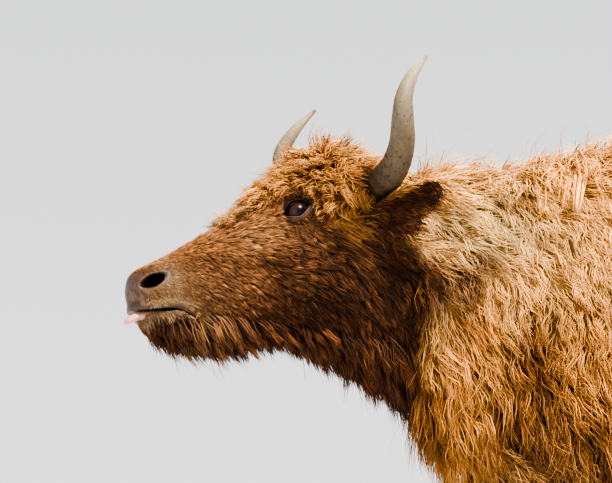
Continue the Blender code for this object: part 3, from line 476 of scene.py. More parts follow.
def sculpt_head(vertices, normals):
    """Cheeks, brow, bridge, nostril wings, lips and lids, as moves of the skin's own points."""
    l, g, u = in_head(vertices)
    move = sum(bump(l, g, u, *mound) for mound in MOUNDS)
    line = lip_line(g)
    near_mouth = smoothstep(0.100, 0.070, g) * smoothstep(0.020, 0.008, np.abs(u - line))
    move += near_mouth * np.where(u > line, 0.0045, 0.0015) * smoothstep(0.000, 0.006, np.abs(u - line))
    # Creases that fan back from the corner of the mouth
    corner = np.hypot(g - MOUTH_CORNER[0], u - MOUTH_CORNER[1])
    crease = CREASE_HEIGHT * np.sin(corner * 2 * math.pi / CREASE_SPACING)
    move += crease * smoothstep(0.030, 0.006, corner) * (g > 0.078)
    vertices = vertices + normals * move[:, None]
    lower = smoothstep(-0.056, -0.064, u) * smoothstep(0.060, 0.006, g)
    vertices = vertices + FORWARD * (-0.006 * lower * smoothstep(0.030, 0.0, g))[:, None]
    for _, side in SIDES:
        centre, facing, along, over = eye_frame(side)
        away = vertices - centre
        height = away @ facing
        a, b = away @ along, away @ over
        across = np.hypot(a, b)
        wanted = np.sqrt(np.maximum(LID_RADIUS**2 - across**2, 0.0))
        share = smoothstep(0.0272, 0.0175, across) * (height > 0)
        vertices = vertices + facing * (share * (wanted - height))[:, None]
        near = height > -0.01
        upper = smoothstep(-0.004, 0.012, b) * near
        fold = sum(bell(across, *place) * rise for *place, rise in UPPER_FOLDS) * upper
        fold += sum(bell(across, *place) * rise for *place, rise in LOWER_FOLDS) * (1 - upper) * near
        # The tear trough before the eye
        trough = bell(b + 0.006 + (a - 0.024) * 0.5, 0.0, 0.0035)
        trough = trough * smoothstep(0.020, 0.026, a) * smoothstep(0.060, 0.030, a)
        vertices = vertices + facing * (fold - TROUGH_DEPTH * trough * near)[:, None]
    return vertices


def refine(mesh, spots):
    """Splits the mesh's edges near the given spots, so small folds have enough points."""
    work = bmesh.new()
    work.from_mesh(mesh)
    near = {vert for vert in work.verts
            if any((vert.co - Vector(spot)).length < reach for spot, reach in spots)}
    edges = [edge for edge in work.edges if edge.verts[0] in near and edge.verts[1] in near]
    bmesh.ops.subdivide_edges(work, edges=edges, cuts=1, smooth=0.0, use_grid_fill=True)
    bmesh.ops.triangulate(work, faces=[face for face in work.faces if len(face.verts) > 3])
    work.to_mesh(mesh)
    work.free()


def mesh_points(mesh, field="co"):
    values = np.empty(len(mesh.vertices) * 3, np.float32)
    mesh.vertices.foreach_get(field, values)
    return values.reshape(-1, 3).astype(float)


def leg_rings(name, inset):
    sections, x, y = FEET[name]
    rows = spline(np.array(sections), np.linspace(0, len(sections) - 1, (len(sections) - 1) * 5 + 1))
    angle = np.linspace(0, 2 * math.pi, LEG_SIDES, endpoint=False)
    c, s = superellipse(angle, np.full_like(angle, 2.2))
    lean = -math.copysign(LEG_LEAN, x) * np.maximum(0.0, rows[:, 0] - 0.30)
    rings = np.empty((len(rows), len(angle), 3))
    rings[..., 0] = x + SHIFT[0] + lean[:, None] + c[None] * (rows[:, 2:3] - inset)
    rings[..., 1] = y + SHIFT[1] + rows[:, 1:2] + s[None] * (rows[:, 3:4] - inset)
    rings[..., 2] = rows[:, 0:1] + SHIFT[2]
    # The tendon's groove and the hollow between the two claws
    low = smoothstep(0.095, 0.062, rows[:, 0])[:, None]
    rings[..., 1] += low * 0.010 * (np.abs(c) < 0.35)[None] * -np.sign(s)[None]
    return rings


def ear_rings(side):
    points = np.array([head_point(side * l, g, u) for l, g, u in EAR_PATH])
    places = np.linspace(0, len(points) - 1, 36)
    spots = spline(points, places)
    half = spline(EAR_HALF_WIDTHS, places)
    opening = head_direction(side * EAR_FACES[0], EAR_FACES[1], EAR_FACES[2])
    ahead = unit(np.gradient(spots, axis=0))
    out = unit(opening[None] - ahead * (ahead @ opening)[:, None])
    across = np.cross(ahead, out)
    x = np.cos(np.linspace(0, math.pi, 15))
    bow = half[:, None] * EAR_CUP * (1 - x[None] ** 2)
    middle = spots[:, None] + across[:, None] * (x[None] * half[:, None])[..., None] - out[:, None] * (
        bow - half[:, None] * EAR_CUP * 0.5)[..., None]
    thick = EAR_THICKNESS * 0.5 * np.maximum(np.sqrt(1 - x**4), 0.3)
    back = middle - out[:, None] * thick[None, :, None]
    front = middle + out[:, None] * thick[None, :, None]
    return np.concatenate((back, front[:, ::-1]), axis=1)


def tail_rings():
    points = np.array(TAIL_PATH, float) + SHIFT
    return tube_rings(points, TAIL_RADII, 24, 5, SIDEWAYS)[0]


def almond_cutter(name, centre, facing, along, over, length, height, reaches, power):
    """A closed cutter with a pointed oval section: reaches is a list of depth along facing and scale."""
    angle = np.linspace(0, 2 * math.pi, 48, endpoint=False)
    x, y = superellipse(angle, np.full_like(angle, power))
    rings = np.array([centre + facing * depth + along * (x * length * scale / 2)[:, None]
                      + over * (y * height * scale / 2)[:, None] for depth, scale in reaches])
    return solid(name, rings)


def lid_rim(tree, side):
    """The rounded edge of both lids, a closed ring that follows the opening on the skin."""
    centre, facing, along, over = eye_frame(side)
    angle = np.linspace(0, 2 * math.pi, 64, endpoint=False)
    x, y = superellipse(angle, np.full_like(angle, LID_POWER))
    x, y = x * EYE_OPENING[0] / 2, y * EYE_OPENING[1] / 2 + EYE_LIFT
    path = []
    for a, b in zip(x, y):
        start = centre + along * a + over * b + facing * 0.06
        hit = tree.ray_cast(Vector(start), Vector(-facing))[0]
        path.append(np.array(hit) - facing * 0.0007)
    path = np.array(path)
    ahead = unit(np.roll(path, -1, 0) - np.roll(path, 1, 0))
    out = unit(np.cross(ahead, facing))
    third = np.cross(ahead, out)
    turn = np.linspace(0, 2 * math.pi, 10, endpoint=False)
    rings = (path[:, None] + out[:, None] * (np.cos(turn) * LID_EDGE)[None, :, None]
             + third[:, None] * (np.sin(turn) * LID_EDGE)[None, :, None])
    count, sides = rings.shape[:2]
    a = (np.arange(count) * sides)[:, None] + np.arange(sides)
    b = (np.arange(count) * sides)[:, None] + (np.arange(sides) + 1) % sides
    c, d = np.roll(a, -1, 0), np.roll(b, -1, 0)
    triangles = np.concatenate((np.stack((a, b, d), -1).reshape(-1, 3),
                                np.stack((a, d, c), -1).reshape(-1, 3)))
    return place_object("lid_rim", outward(mesh_from("lid_rim", rings.reshape(-1, 3), triangles)))


def mouth_cutter():
    """A thin wedge between the lips, from before the nose to the corner of the mouth."""
    g = np.linspace(MOUTH_LINE[0][0], MOUTH_LINE[-1][0], 60)
    places = np.interp(g, [p[0] for p in MOUTH_LINE], range(len(MOUTH_LINE)))
    line = spline([p[1] for p in MOUTH_LINE], places)
    gap = spline(MOUTH_GAPS, places) * 0.5
    across = np.linspace(-0.11, 0.11, 12)
    edge = [(l, 1) for l in across] + [(l, -1) for l in across[::-1]]
    rings = [[head_point(l, back, height + sign * half - l * l) for l, sign in edge]
             for back, height, half in zip(g, line, gap)]
    return solid("mouth_cutter", np.array(rings))


def ball(name, centre, radius, facing, rings=40, sides=56):
    """A ball whose pole looks along facing."""
    over = unit(np.cross(facing, (0.0, 0.0, 1.0)))
    third = np.cross(facing, over)
    polar = np.linspace(0, math.pi, rings + 2)[1:-1]
    angle = np.linspace(0, 2 * math.pi, sides, endpoint=False)
    points = (centre + facing * (np.cos(polar) * radius)[:, None, None]
              + over * (np.sin(polar)[:, None] * np.cos(angle)[None] * radius)[..., None]
              + third * (np.sin(polar)[:, None] * np.sin(angle)[None] * radius)[..., None])
    return solid(name, points, centre + facing * radius, centre - facing * radius)


def soften(mesh, centres, radius, rounds):
    """Rounds off the cut edges near the given spots."""
    tree = kdtree.KDTree(len(centres))
    for k, centre in enumerate(centres):
        tree.insert(centre, k)
    tree.balance()
    work = bmesh.new()
    work.from_mesh(mesh)
    bmesh.ops.remove_doubles(work, verts=work.verts, dist=0.00005)
    near = [vert for vert in work.verts if tree.find(vert.co)[2] < radius]
    for _ in range(rounds):
        bmesh.ops.smooth_vert(work, verts=near, factor=0.5,
                              use_axis_x=True, use_axis_y=True, use_axis_z=True)
    bmesh.ops.triangulate(work, faces=[face for face in work.faces if len(face.verts) > 3])
    for face in work.faces:
        face.smooth = True
    work.to_mesh(mesh)
    work.free()


# Markings with painted light and shade: one function of place for skin and coat alike, from a few named
# colours

GOLD = np.array((0.640, 0.300, 0.078))
CREAM = np.array((0.930, 0.540, 0.200))
# A painted highlight: the palest cream, laid behind the ear where the sun falls
PAINTED_HIGHLIGHT = np.array((0.950, 0.680, 0.320))
AMBER = np.array((0.225, 0.086, 0.018))
BROWN = np.array((0.176, 0.075, 0.027))
DARK = np.array((0.061, 0.0205, 0.0064))
TAN = np.array((0.245, 0.132, 0.056))
ASH = np.array((0.290, 0.195, 0.110))
POLL = np.array((0.580, 0.280, 0.085))
PAD = np.array((0.088, 0.050, 0.034))
PAD_PINK = np.array((0.180, 0.102, 0.068))
LIP = np.array((0.110, 0.066, 0.048))
LID = np.array((0.080, 0.042, 0.032))


WAVES = 7


def mix(colour, other, share):
    return colour * (1 - share[:, None]) + other * share[:, None]


def paint(colour, *layers):
    """Lays shades over a colour, each with its share from place to place."""
    for shade, share in layers:
        colour = mix(colour, shade, share)
    return colour


def lumps(points, size, seed):
    """A smooth pattern of values about zero, from a few turned waves, for uneven colour and lie."""
    random = np.random.default_rng(seed)
    total = np.zeros(len(points))
    for _ in range(WAVES):
        way = unit(random.normal(size=3)) * random.uniform(0.6, 1.7) * 2 * math.pi / size
        total += np.sin(points @ way + random.uniform(0, 6.28))
    return total / 3.5


def bare_mask(points):
    """Where the skin is bare: nose pad, nostrils, lips and lids."""
    _, g, u = in_head(points)
    rough = lumps(points, 0.03, 8) * 0.003
    bare = smoothstep(0.015, 0.006, g + rough) * (u > -0.062)
    lips = smoothstep(0.0062, 0.0040, np.abs(u - lip_line(g) + rough * 0.3))
    bare = np.maximum(bare, smoothstep(0.088, 0.080, g) * lips)
    for _, side in SIDES:
        nostril, _, along, over = nostril_frame(side)
        close = np.linalg.norm(points - nostril, axis=1) < 0.04
        slit = oval(points, nostril + FORWARD * 0.002, along, over, *NOSTRIL_SIZE)
        bare = np.maximum(bare, smoothstep(1.36, 1.16, slit) * close)
        centre, facing, along, over = eye_frame(side)
        close = (points - centre) @ facing > 0
        lids = oval(points, centre + over * EYE_LIFT, along, over, *EYE_OPENING)
        bare = np.maximum(bare, smoothstep(1.34, 1.14, lids) * close)
    return np.clip(bare, 0, 1)


def bare_colour(points):
    """Colour of the bare skin: mottled pad, dark lips and nostril rims, painted shade inside the nostrils,
    dark upper and paler lower lids.
    """
    _, g, u = in_head(points)
    mottled = smoothstep(-0.3, 0.9, lumps(points, 0.012, 5) + lumps(points, 0.028, 6) * 0.6)
    colour = paint(
        np.tile(PAD, (len(points), 1)),
        (PAD_PINK, mottled * smoothstep(0.012, -0.030, u)),
        (LIP, smoothstep(0.014, 0.006, np.abs(u - lip_line(g))) * smoothstep(-0.040, -0.050, u)),
    )
    for _, side in SIDES:
        nostril, inward, along, over = nostril_frame(side)
        away = points - nostril
        far = np.linalg.norm(away, axis=1)
        slit = oval(points, nostril, along, over, *NOSTRIL_SIZE)
        nostril_shade = smoothstep(-0.002, 0.009, away @ inward) * (slit < 1.12)
        colour = mix(colour, LIP * 1.15, smoothstep(1.42, 1.22, slit) * (far < 0.045) * 0.8)
        # Painted shade: the inside of each nostril is near black
        colour = mix(colour, DARK * 0.15, nostril_shade * (far < 0.05))
        centre, facing, _, over = eye_frame(side)
        away = points - centre
        far = np.linalg.norm(away, axis=1)
        near = (far < 0.045) & (away @ facing > 0)
        colour = np.where(near[:, None], LID * 0.45, colour)
        below = near * smoothstep(0.000, -0.006, away @ over - EYE_LIFT)
        colour = mix(colour, LID * 1.35, below * smoothstep(0.0232, 0.0243, far))
    return colour


def patch(y, z, fine, middle, size, tilt, gain, uneven, most):
    """The share of an oval patch on the body's side, its long axis tilted from upright, its edge uneven."""
    dy, dz = y - middle[0], z - middle[1]
    c, s = math.cos(tilt), math.sin(tilt)
    soft = np.exp(-(((dy * c + dz * s) / size[0]) ** 2 + ((dz * c - dy * s) / size[1]) ** 2))
    return np.clip(soft * gain + fine * uneven, 0, 1) * most


def body_colour(points, y, z, rough, fine):
    """Gold; cream along the neck's top behind the ear and on the back, partly the coat's own colour and
    partly painted light from above; a painted highlight behind the ear; rust low down; dark brown under the
    neck, partly painted shade; painted shade in the crease behind the jaw.
    """
    height = z + rough
    fore = smoothstep(0.15, -0.45, y)
    colour = paint(
        np.tile(GOLD, (len(points), 1)),
        # Cream along the top, partly the coat's own colour and partly painted light from above; a painted
        # highlight paler still behind the ear; then rust and brown below
        (CREAM, smoothstep(0.76, 0.92, height + fine * 0.03) * (0.30 + 0.60 * fore)),
        (PAINTED_HIGHLIGHT, patch(y, z, fine, (-0.720, 1.010), (0.095, 0.075), 0.2, 1.4, 0.15, 0.95)),
        (AMBER, smoothstep(0.82, 0.66, height + fine * 0.03) * 0.74),
        (BROWN, smoothstep(0.76, 0.62, height + fine * 0.04) * fore * 0.55),
        # A rust fold down the middle of the neck, and brown low on its front
        (AMBER, patch(y, z, fine, (-0.637, 0.780), (0.030, 0.090), -0.35, 1.4, 0.10, 0.92)),
        (BROWN, patch(y, z, fine, (-0.690, 0.600), (0.060, 0.090), -0.2, 1.0, 0.2, 0.75)),
        # Uneven rust and cream all over
        (AMBER, smoothstep(0.1, 1.0, lumps(points, 0.22, 11)) * (0.50 - 0.34 * fore)),
        (CREAM, smoothstep(0.3, 1.1, lumps(points, 0.19, 12)) * 0.25),
    )
    # Dark brown under the neck and behind the jaw, partly the coat's own colour and partly painted shade,
    # fading back into the shoulder
    fold = (y + 0.712) - (z - 0.920) * 0.62
    throat = smoothstep(0.006, -0.050, fold + rough * 0.5 + fine * 0.02)
    throat = throat * smoothstep(0.985, 0.925, z + rough * 0.4)
    low = smoothstep(0.800, 0.700, z + rough) * smoothstep(-0.765, -0.730, y)
    throat = throat * (1 - low * 0.75)
    return paint(
        colour,
        (BROWN * 0.9, throat),
        (DARK * 1.3, throat * smoothstep(-0.745, -0.815, y + rough * 0.5) * 0.8),
        # Painted shade in the crease behind the jaw, and gold locks below the throat
        (BROWN * 1.1, patch(y, z, fine, (-0.728, 0.905), (0.015, 0.060), -0.55, 1.3, 0.0, 0.85)),
        (GOLD * 1.1, patch(y, z, fine, (-0.752, 0.700), (0.032, 0.090), 0.0, 1.2, 0.3, 0.85)),
    )


def face_colour(l, g, u, rough, fine):
    """Brown face, dark cheek, ash-tan lips and chin, orange poll, and dark hair behind the poll."""
    out = np.abs(l)
    lips = smoothstep(0.100, 0.055, g + fine * 0.012) * smoothstep(-0.028, -0.046, u + fine * 0.006)
    top = smoothstep(0.078, 0.104, u - (g - 0.24) * 0.12 + fine * 0.008)
    temple = bell(g, 0.366 + (u - 0.02) * 0.25, 0.011) * smoothstep(-0.012, 0.008, u)
    nape = smoothstep(0.400, 0.425, g) * smoothstep(0.055, 0.035, u)
    fringe = bell(g, 0.205, 0.032) * smoothstep(0.066, 0.078, u)
    around_eye = blob(l, g, u, (0.098, 0.298, 0.056), (0.030, 0.040, 0.024))
    return paint(
        np.tile(BROWN, (len(l), 1)),
        # Paler bridge, dark cheek and tan side of the muzzle
        (BROWN * 1.35, smoothstep(0.30, 0.16, g + rough) * smoothstep(0.000, 0.035, u)),
        (DARK, smoothstep(0.17, 0.27, g + rough * 0.6) * smoothstep(0.045, -0.03, u + fine * 0.02) * 0.62),
        (TAN, smoothstep(0.190, 0.080, g + rough * 0.6) * smoothstep(0.020, -0.014, u + fine * 0.012) * 0.55),
        # Ash lips, dark below them, and ash round the nostril
        (ASH, lips * smoothstep(-0.086, -0.070, u + fine * 0.006) * 0.75),
        (DARK * 1.2, lips * smoothstep(-0.068, -0.084, u + fine * 0.008) * 0.92),
        (ASH * 0.95, bell(g, 0.050, 0.022) * bell(u, -0.008, 0.024) * smoothstep(0.02, 0.035, out) * 0.75),
        # Dark under the jaw, and tan below the eye towards the nose
        (DARK * 1.25, smoothstep(0.060, 0.110, g) * smoothstep(-0.072, -0.102, u + fine * 0.010) * 0.90),
        (TAN * 1.25, bell(g, 0.215, 0.060) * bell(u, 0.036, 0.030) * smoothstep(0.02, 0.05, out) * 0.65),
        # Orange poll with a cream fringe before it, and orange behind the eye
        (POLL, smoothstep(0.205, 0.262, g + rough * 0.3) * top),
        (CREAM * 0.9, fringe * smoothstep(0.06, 0.03, out) * 0.75),
        (POLL * 0.85, smoothstep(0.315, 0.365, g) * smoothstep(0.015, 0.060, u + fine * 0.01) * 0.85),
        (POLL * 0.85, temple * smoothstep(0.07, 0.09, out) * 0.62),
        # Darker round the eye and under the horn
        (BROWN * 0.75, np.clip(around_eye * 1.1, 0, 1) * 0.6),
        (DARK * 0.8, nape * smoothstep(0.075, 0.09, out) * 0.8),
    )


def markings_and_painted_light(points):
    """Colour of the coat, painted light and shade included, and how bare the skin is, at places on the
    animal.
    """
    l, g, u = in_head(points)
    _, y, z = (points - SHIFT).T
    rough = lumps(points, 0.16, 3) * 0.05
    fine = lumps(points, 0.055, 4) * 0.5
    # Ears: dark brown with a golden upper rim, partly golden hair and partly a painted highlight along the
    # lit edge
    ear = smoothstep(0.106, 0.122, np.abs(l)) * (g > 0.40) * (g < 0.58)
    ear = ear * (u < 0.085) * (u > -0.03) * (y < -0.7)
    ear_hair = mix(np.tile(DARK * 1.4, (len(points), 1)), BROWN * 0.8, smoothstep(0.0, 1.0, fine * 2))
    rim = smoothstep(0.046, 0.058, u - (g - 0.44) * 0.25) * ear
    tail = smoothstep(0.775, 0.80, y)
    colour = paint(
        body_colour(points, y, z, rough, fine),
        (face_colour(l, g, u, rough, fine), smoothstep(0.500, 0.420, g + rough * 0.8)),
        (ear_hair, ear),
        # The ear's golden upper rim: partly golden hair, partly painted highlight
        (POLL * 0.9, rim * 0.9),
        # Dark lower legs, and a tail that darkens downwards
        (BROWN, smoothstep(0.46, 0.26, z + rough) * (z < 0.5) * 0.8),
        (DARK * 1.1, smoothstep(0.16, 0.09, z + rough)),
        (BROWN, tail * 0.7),
        (DARK * 1.5, tail * smoothstep(0.66, 0.36, z) * 0.8),
    )
    return np.clip(colour, 0, 0.95), bare_mask(points) * (g < 0.36) * (y < -0.7)


# Cutters as depth from the surface and scale
EYE_CUT = [(0.006, 1.0), (0.040, 1.03)]
NOSTRIL_CUT = [(-0.016, 1.10), (0.000, 1.00), (0.014, 0.84), (0.034, 0.42)]


def make_skin(material):
    skin = solid("skin", nose_to_rump())
    # Finer triangles round the nose and mouth, and finer still round the eyes
    spots = [(head_point(0, 0.030, -0.045), 0.100)]
    for _, side in SIDES:
        centre, facing, _, _ = eye_frame(side)
        spots.append((centre + facing * 0.02, 0.054))
    refine(skin.data, spots)
    refine(skin.data, [(spot, reach * 0.82) for spot, reach in spots[1:]])
    vertices = mesh_points(skin.data)
    sculpted = sculpt_head(vertices, mesh_points(skin.data, "normal"))
    on_head = in_head(vertices)[1] < 0.52
    vertices = np.where(on_head[:, None], sculpted, vertices)
    skin.data.vertices.foreach_set("co", vertices.astype(np.float32).ravel())
    skin.data.update()
    outward(skin.data)
    additions = [solid(name, leg_rings(name, LEG_FUR_DEPTH)) for name in FEET]
    additions += [solid("ear", ear_rings(side)) for _, side in SIDES] + [solid("tail", tail_rings())]
    apply_boolean(skin, additions, "UNION")
    uncut = BVHTree.FromObject(skin, bpy.context.evaluated_depsgraph_get())
    cutters = [mouth_cutter()]
    rounded = []
    for _, side in SIDES:
        centre, facing, along, over = eye_frame(side)
        cutters.append(almond_cutter("opening", centre + over * EYE_LIFT, facing, along, over, *EYE_OPENING,
                                     EYE_CUT, LID_POWER))
        nostril, inward, along, over = nostril_frame(side)
        cutters.append(almond_cutter("nostril", nostril, inward, along, over, *NOSTRIL_SIZE,
                                     NOSTRIL_CUT, NOSTRIL_POWER))
        rounded.append(nostril)
    for cutter in cutters:
        apply_boolean(skin, [cutter], "DIFFERENCE")
    lips = [head_point(l, g, u) for g, u in MOUTH_LINE[1:] for l in np.linspace(-0.055, 0.055, 12)]
    soften(skin.data, [Vector(spot) for spot in rounded + lips], 0.024, 3)
    apply_boolean(skin, [lid_rim(uncut, side) for _, side in SIDES], "UNION")
    sockets = [ball("socket", eye_frame(side)[0], EYE_RADIUS + SOCKET_GAP, head_direction(side, 0, 0))
               for _, side in SIDES]
    apply_boolean(skin, sockets, "DIFFERENCE")
    mesh = skin.data
    points = mesh_points(mesh)
    colour, bare = markings_and_painted_light(points)
    l, g, u = in_head(points)
    # Under the coat the skin is painted darker, a painted shade in the gaps between tufts, so they read as
    # depth
    long_coat = smoothstep(0.20, 0.36, g + np.abs(l) * 0.3)
    shaded_under_coat = colour * (0.50 - 0.10 * long_coat)[:, None]
    colour = shaded_under_coat * (1 - bare[:, None]) + bare_colour(points) * bare[:, None]
    colour = np.column_stack((colour, np.ones(len(points)))).astype(np.float32)
    mesh.attributes.new("Coat", "FLOAT_COLOR", "POINT").data.foreach_set("color", colour.ravel())
    mesh.attributes.new("Bare", "FLOAT", "POINT").data.foreach_set("value", bare.astype(np.float32))
    for polygon in mesh.polygons:
        polygon.use_smooth = True
    mesh.materials.clear()
    mesh.materials.append(material)
    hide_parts("head", "lower_jaw", "neck", "torso", "tail", "ear_left", "ear_right", *FEET)
    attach(skin, "root")
    Skin.mesh = mesh
    Skin.tree = BVHTree.FromObject(skin, bpy.context.evaluated_depsgraph_get())


class Skin:
    """The finished skin, kept for the coat to grow from, with each region's share of its triangles."""

    mesh = None
    tree = None
    masks = None


# Coat

FACE_REGIONS = ("muzzle", "cheek", "jaw")
COAT_SEED = 300
PIECE_TRIANGLES = 190000
STRAY_SHARE = 0.035
ROOT_DEPTH = 0.0015
BAKE_PATCH = 0.003
# Tones of a tuft at its root, a third of the way up and at its tip, painted shade at the root and painted
# light at the tip, and the range of tones from tuft to tuft
FACE_SHADE_TONES, FACE_RANGE = (0.42, 0.90, 1.45), (0.55, 1.45)
BODY_SHADE_TONES, BODY_RANGE = (0.52, 0.94, 1.20), (0.78, 1.20)

# Sizes in metres: rise is how steeply tufts leave the skin, fall how far they bend down, clump how far
# they gather to one tip, curl the radius of a wave or ringlet, swirl and jitter how the lie turns
Region = namedtuple(
    "Region", "name count width length rise fall segments clump_size clump curl turns swirl jitter")
REGIONS = [
    Region("muzzle", 18900, 0.0015, 0.0175, 0.26, 0.14, 2, 6, 0.40, 0.0000, 0.0, 0.24, 0.22),
    Region("cheek", 9000, 0.0021, 0.0300, 0.30, 0.25, 3, 9, 0.50, 0.0014, 0.9, 0.30, 0.22),
    Region("jaw", 4700, 0.0023, 0.0440, 0.50, 0.80, 4, 9, 0.55, 0.0022, 1.0, 0.25, 0.24),
    Region("poll", 4700, 0.0026, 0.0600, 1.15, 0.50, 7, 10, 0.62, 0.0068, 1.0, 0.60, 0.80),
    Region("ear", 3200, 0.0018, 0.0260, 0.26, 0.45, 3, 7, 0.45, 0.0012, 0.7, 0.20, 0.18),
    Region("neck_left", 12800, 0.0023, 0.0760, 0.44, 0.62, 4, 7, 0.36, 0.0058, 1.0, 0.50, 0.34),
    Region("neck_right", 4000, 0.0046, 0.0820, 0.42, 0.62, 4, 12, 0.58, 0.0042, 1.0, 0.42, 0.28),
    Region("mane", 2600, 0.0029, 0.0950, 0.95, 0.90, 5, 9, 0.50, 0.0060, 1.0, 0.40, 0.40),
    Region("withers", 420, 0.0034, 0.1200, 1.10, 2.30, 6, 26, 0.80, 0.0040, 0.8, 0.10, 0.16),
    Region("barrel", 8800, 0.0062, 0.1100, 0.36, 0.70, 3, 9, 0.46, 0.0060, 0.8, 0.36, 0.28),
    Region("skirt", 3900, 0.0066, 0.2000, 0.30, 1.60, 4, 10, 0.55, 0.0070, 1.0, 0.14, 0.16),
    Region("belly", 1300, 0.0080, 0.1100, 0.50, 1.60, 3, 10, 0.55, 0.0040, 0.8, 0.10, 0.25),
    Region("legs", 7000, 0.0036, 0.0240, 0.18, 0.30, 2, 6, 0.30, 0.0000, 0.0, 0.12, 0.14),
    Region("tail", 1440, 0.0080, 0.2300, 0.22, 1.20, 6, 11, 0.62, 0.0070, 1.2, 0.10, 0.14),
]


def region_masks(points, normals):
    """Which part of the coat each spot belongs to, as named masks."""
    l, g, u = in_head(points)
    x, y, z = (points - SHIFT).T
    furry = markings_and_painted_light(points)[1] < 0.5
    head = (g < 0.470) & (y < -0.60)
    ear = head & (np.abs(l) > 0.112) & (g > 0.40) & (u < 0.090) & (u > -0.06)
    ear &= np.abs(l) > 0.118 - 0.1 * (u < -0.02)
    legs = np.zeros(len(points), bool)
    for _, fx, fy in FEET.values():
        legs |= (np.abs(x - fx) < 0.085) & (np.abs(y - fy - 0.03) < 0.13)
    legs &= (z < 0.41) & (np.abs(normals[:, 2]) < 0.85)
    tail = y > 0.752
    poll = head & ~ear & (g > 0.262) & (u > 0.090 - (g - 0.262) * 0.10) & (np.abs(l) < 0.110)
    poll |= head & ~ear & (g > 0.335) & (u > 0.042) & (np.abs(l) > 0.05)
    poll |= head & (g > 0.190) & (g <= 0.262) & (u > 0.058 + (g - 0.190) * 0.42) & (np.abs(l) < 0.062)
    jaw = head & ~ear & ~poll & (g > 0.025) & (u < -0.078 - np.clip(g - 0.12, 0, 1) * 0.30)
    cheek = head & ~ear & ~poll & ~jaw & (g > 0.27)
    rest = ~head & ~legs & ~tail
    neck = rest & (y < -0.44)
    ridge = np.interp(y, [-0.832, -0.760, -0.670, -0.580], [0.042, 0.022, 0.008, 0.0])
    mane = rest & (np.abs(x - ridge) < 0.060) & (normals[:, 2] > 0.55) & (y < -0.20)
    belly = rest & ~neck & (z < 0.47) & (normals[:, 2] < -0.5)
    skirt = rest & ~neck & ~belly & (z < 0.66)
    return {
        "muzzle": head & ~ear & ~poll & ~jaw & ~cheek & furry,
        "cheek": cheek & furry,
        "jaw": jaw & furry,
        "poll": poll,
        "ear": ear,
        "neck_left": neck & (x > 0.0),
        "neck_right": neck & (x <= 0.0),
        "mane": mane,
        "withers": mane & (y > -0.605) & (y < -0.505) & (x > -0.015),
        "barrel": rest & ~neck & ~belly & ~skirt,
        "skirt": skirt,
        "belly": belly,
        "legs": legs & (z > 0.066),
        "tail": tail,
    }


def scatter(count, key, random):
    """Spots spread evenly over one part of the skin, with the skin's normals there."""
    mesh = Skin.mesh
    points, normals = mesh_points(mesh), mesh_points(mesh, "normal")
    mesh.calc_loop_triangles()
    triangles = np.empty(len(mesh.loop_triangles) * 3, np.int32)
    mesh.loop_triangles.foreach_get("vertices", triangles)
    triangles = triangles.reshape(-1, 3)
    corners = points[triangles]
    edges = corners[:, 1:] - corners[:, :1]
    area = np.linalg.norm(np.cross(edges[:, 0], edges[:, 1]), axis=1) / 2
    if Skin.masks is None:
        facing = unit(normals[triangles].mean(1))
        Skin.masks = region_masks(corners.mean(1), facing)
    weight = area * Skin.masks[key]
    picked = random.choice(len(triangles), size=count, p=weight / weight.sum())
    a, b = random.random(count), random.random(count)
    flip = a + b > 1
    a, b = np.where(flip, 1 - a, a), np.where(flip, 1 - b, b)
    share = np.stack((1 - a - b, a, b), 1)[..., None]
    return (corners[picked] * share).sum(1), unit((normals[triangles[picked]] * share).sum(1))


def lie(points, normals, name):
    """The way the hair lies: back along the head, and more and more down on neck and body."""
    l, g, u = in_head(points)
    x, y, z = (points - SHIFT).T
    outwards = np.sign(l)[:, None] * LEFT
    if name in FACE_REGIONS:
        droop = 0.15 + 0.75 * smoothstep(0.06, -0.06, u) + 0.25 * smoothstep(0.30, 0.42, g)
        way = -FORWARD + DOWN * droop[:, None]
        way = way + UP * (0.35 * smoothstep(0.05, 0.09, u) * smoothstep(0.20, 0.28, g))[:, None]
        way = way + DOWN * (0.6 * smoothstep(0.10, 0.02, g) * smoothstep(0.0, -0.05, u))[:, None]
        # Hair parts round the eye and sweeps off its lids
        for _, side in SIDES:
            away = points - eye_frame(side)[0]
            near = smoothstep(0.060, 0.024, np.linalg.norm(away, axis=1))[:, None]
            way = way * (1 - near * 0.65) + (unit(away) * 0.9 - FORWARD * 0.5) * near * 0.65
    elif name == "poll":
        way = FORWARD * 0.75 + outwards * (0.25 + np.abs(l)[:, None] * 5) + DOWN * 0.25
        way = np.where((g > 0.385)[:, None], -FORWARD * 0.6 + outwards * 0.6 + DOWN * 0.2, way)
        way = np.where(((np.abs(l) > 0.075) & (g > 0.33))[:, None], DOWN + -FORWARD * 0.25, way)
    elif name == "ear":
        way = -FORWARD * 0.85 + outwards * 0.45 + DOWN * (0.10 + 0.40 * smoothstep(0.02, -0.02, u))[:, None]
    elif name in ("legs", "tail", "belly"):
        way = np.tile(DOWN, (len(points), 1)) + BACKWARDS * (0.45 if name == "belly" else 0.10)
    elif name in ("mane", "withers"):
        way = np.where(x > 0.0, 0.6, -0.6)[:, None] * SIDEWAYS
        way = BACKWARDS * (0.55 if name == "mane" else 0.15) + way + DOWN * 0.2
    else:
        share = 0.42 - 0.22 * smoothstep(-0.60, -0.20, y) + 0.30 * smoothstep(0.98, 1.10, z)
        way = DOWN * (1 - share)[:, None] + BACKWARDS * share[:, None]
        # Behind the jaw the hair fans back and up to the ear, then falls again
        fan = smoothstep(-0.66, -0.80, y) * smoothstep(0.90, 0.98, z)
        way = way + (BACKWARDS * 0.9 - DOWN * 0.35) * fan[:, None]
        parting = np.sign(x - 0.02) * 0.7
        way = way + parting[:, None] * SIDEWAYS * smoothstep(0.90, 0.99, normals[:, 2])[:, None]
    way = way - normals * (way * normals).sum(1)[:, None]
    flat = np.linalg.norm(way, axis=1) < 0.05
    way[flat] = np.cross(normals[flat], SIDEWAYS)
    return unit(way)


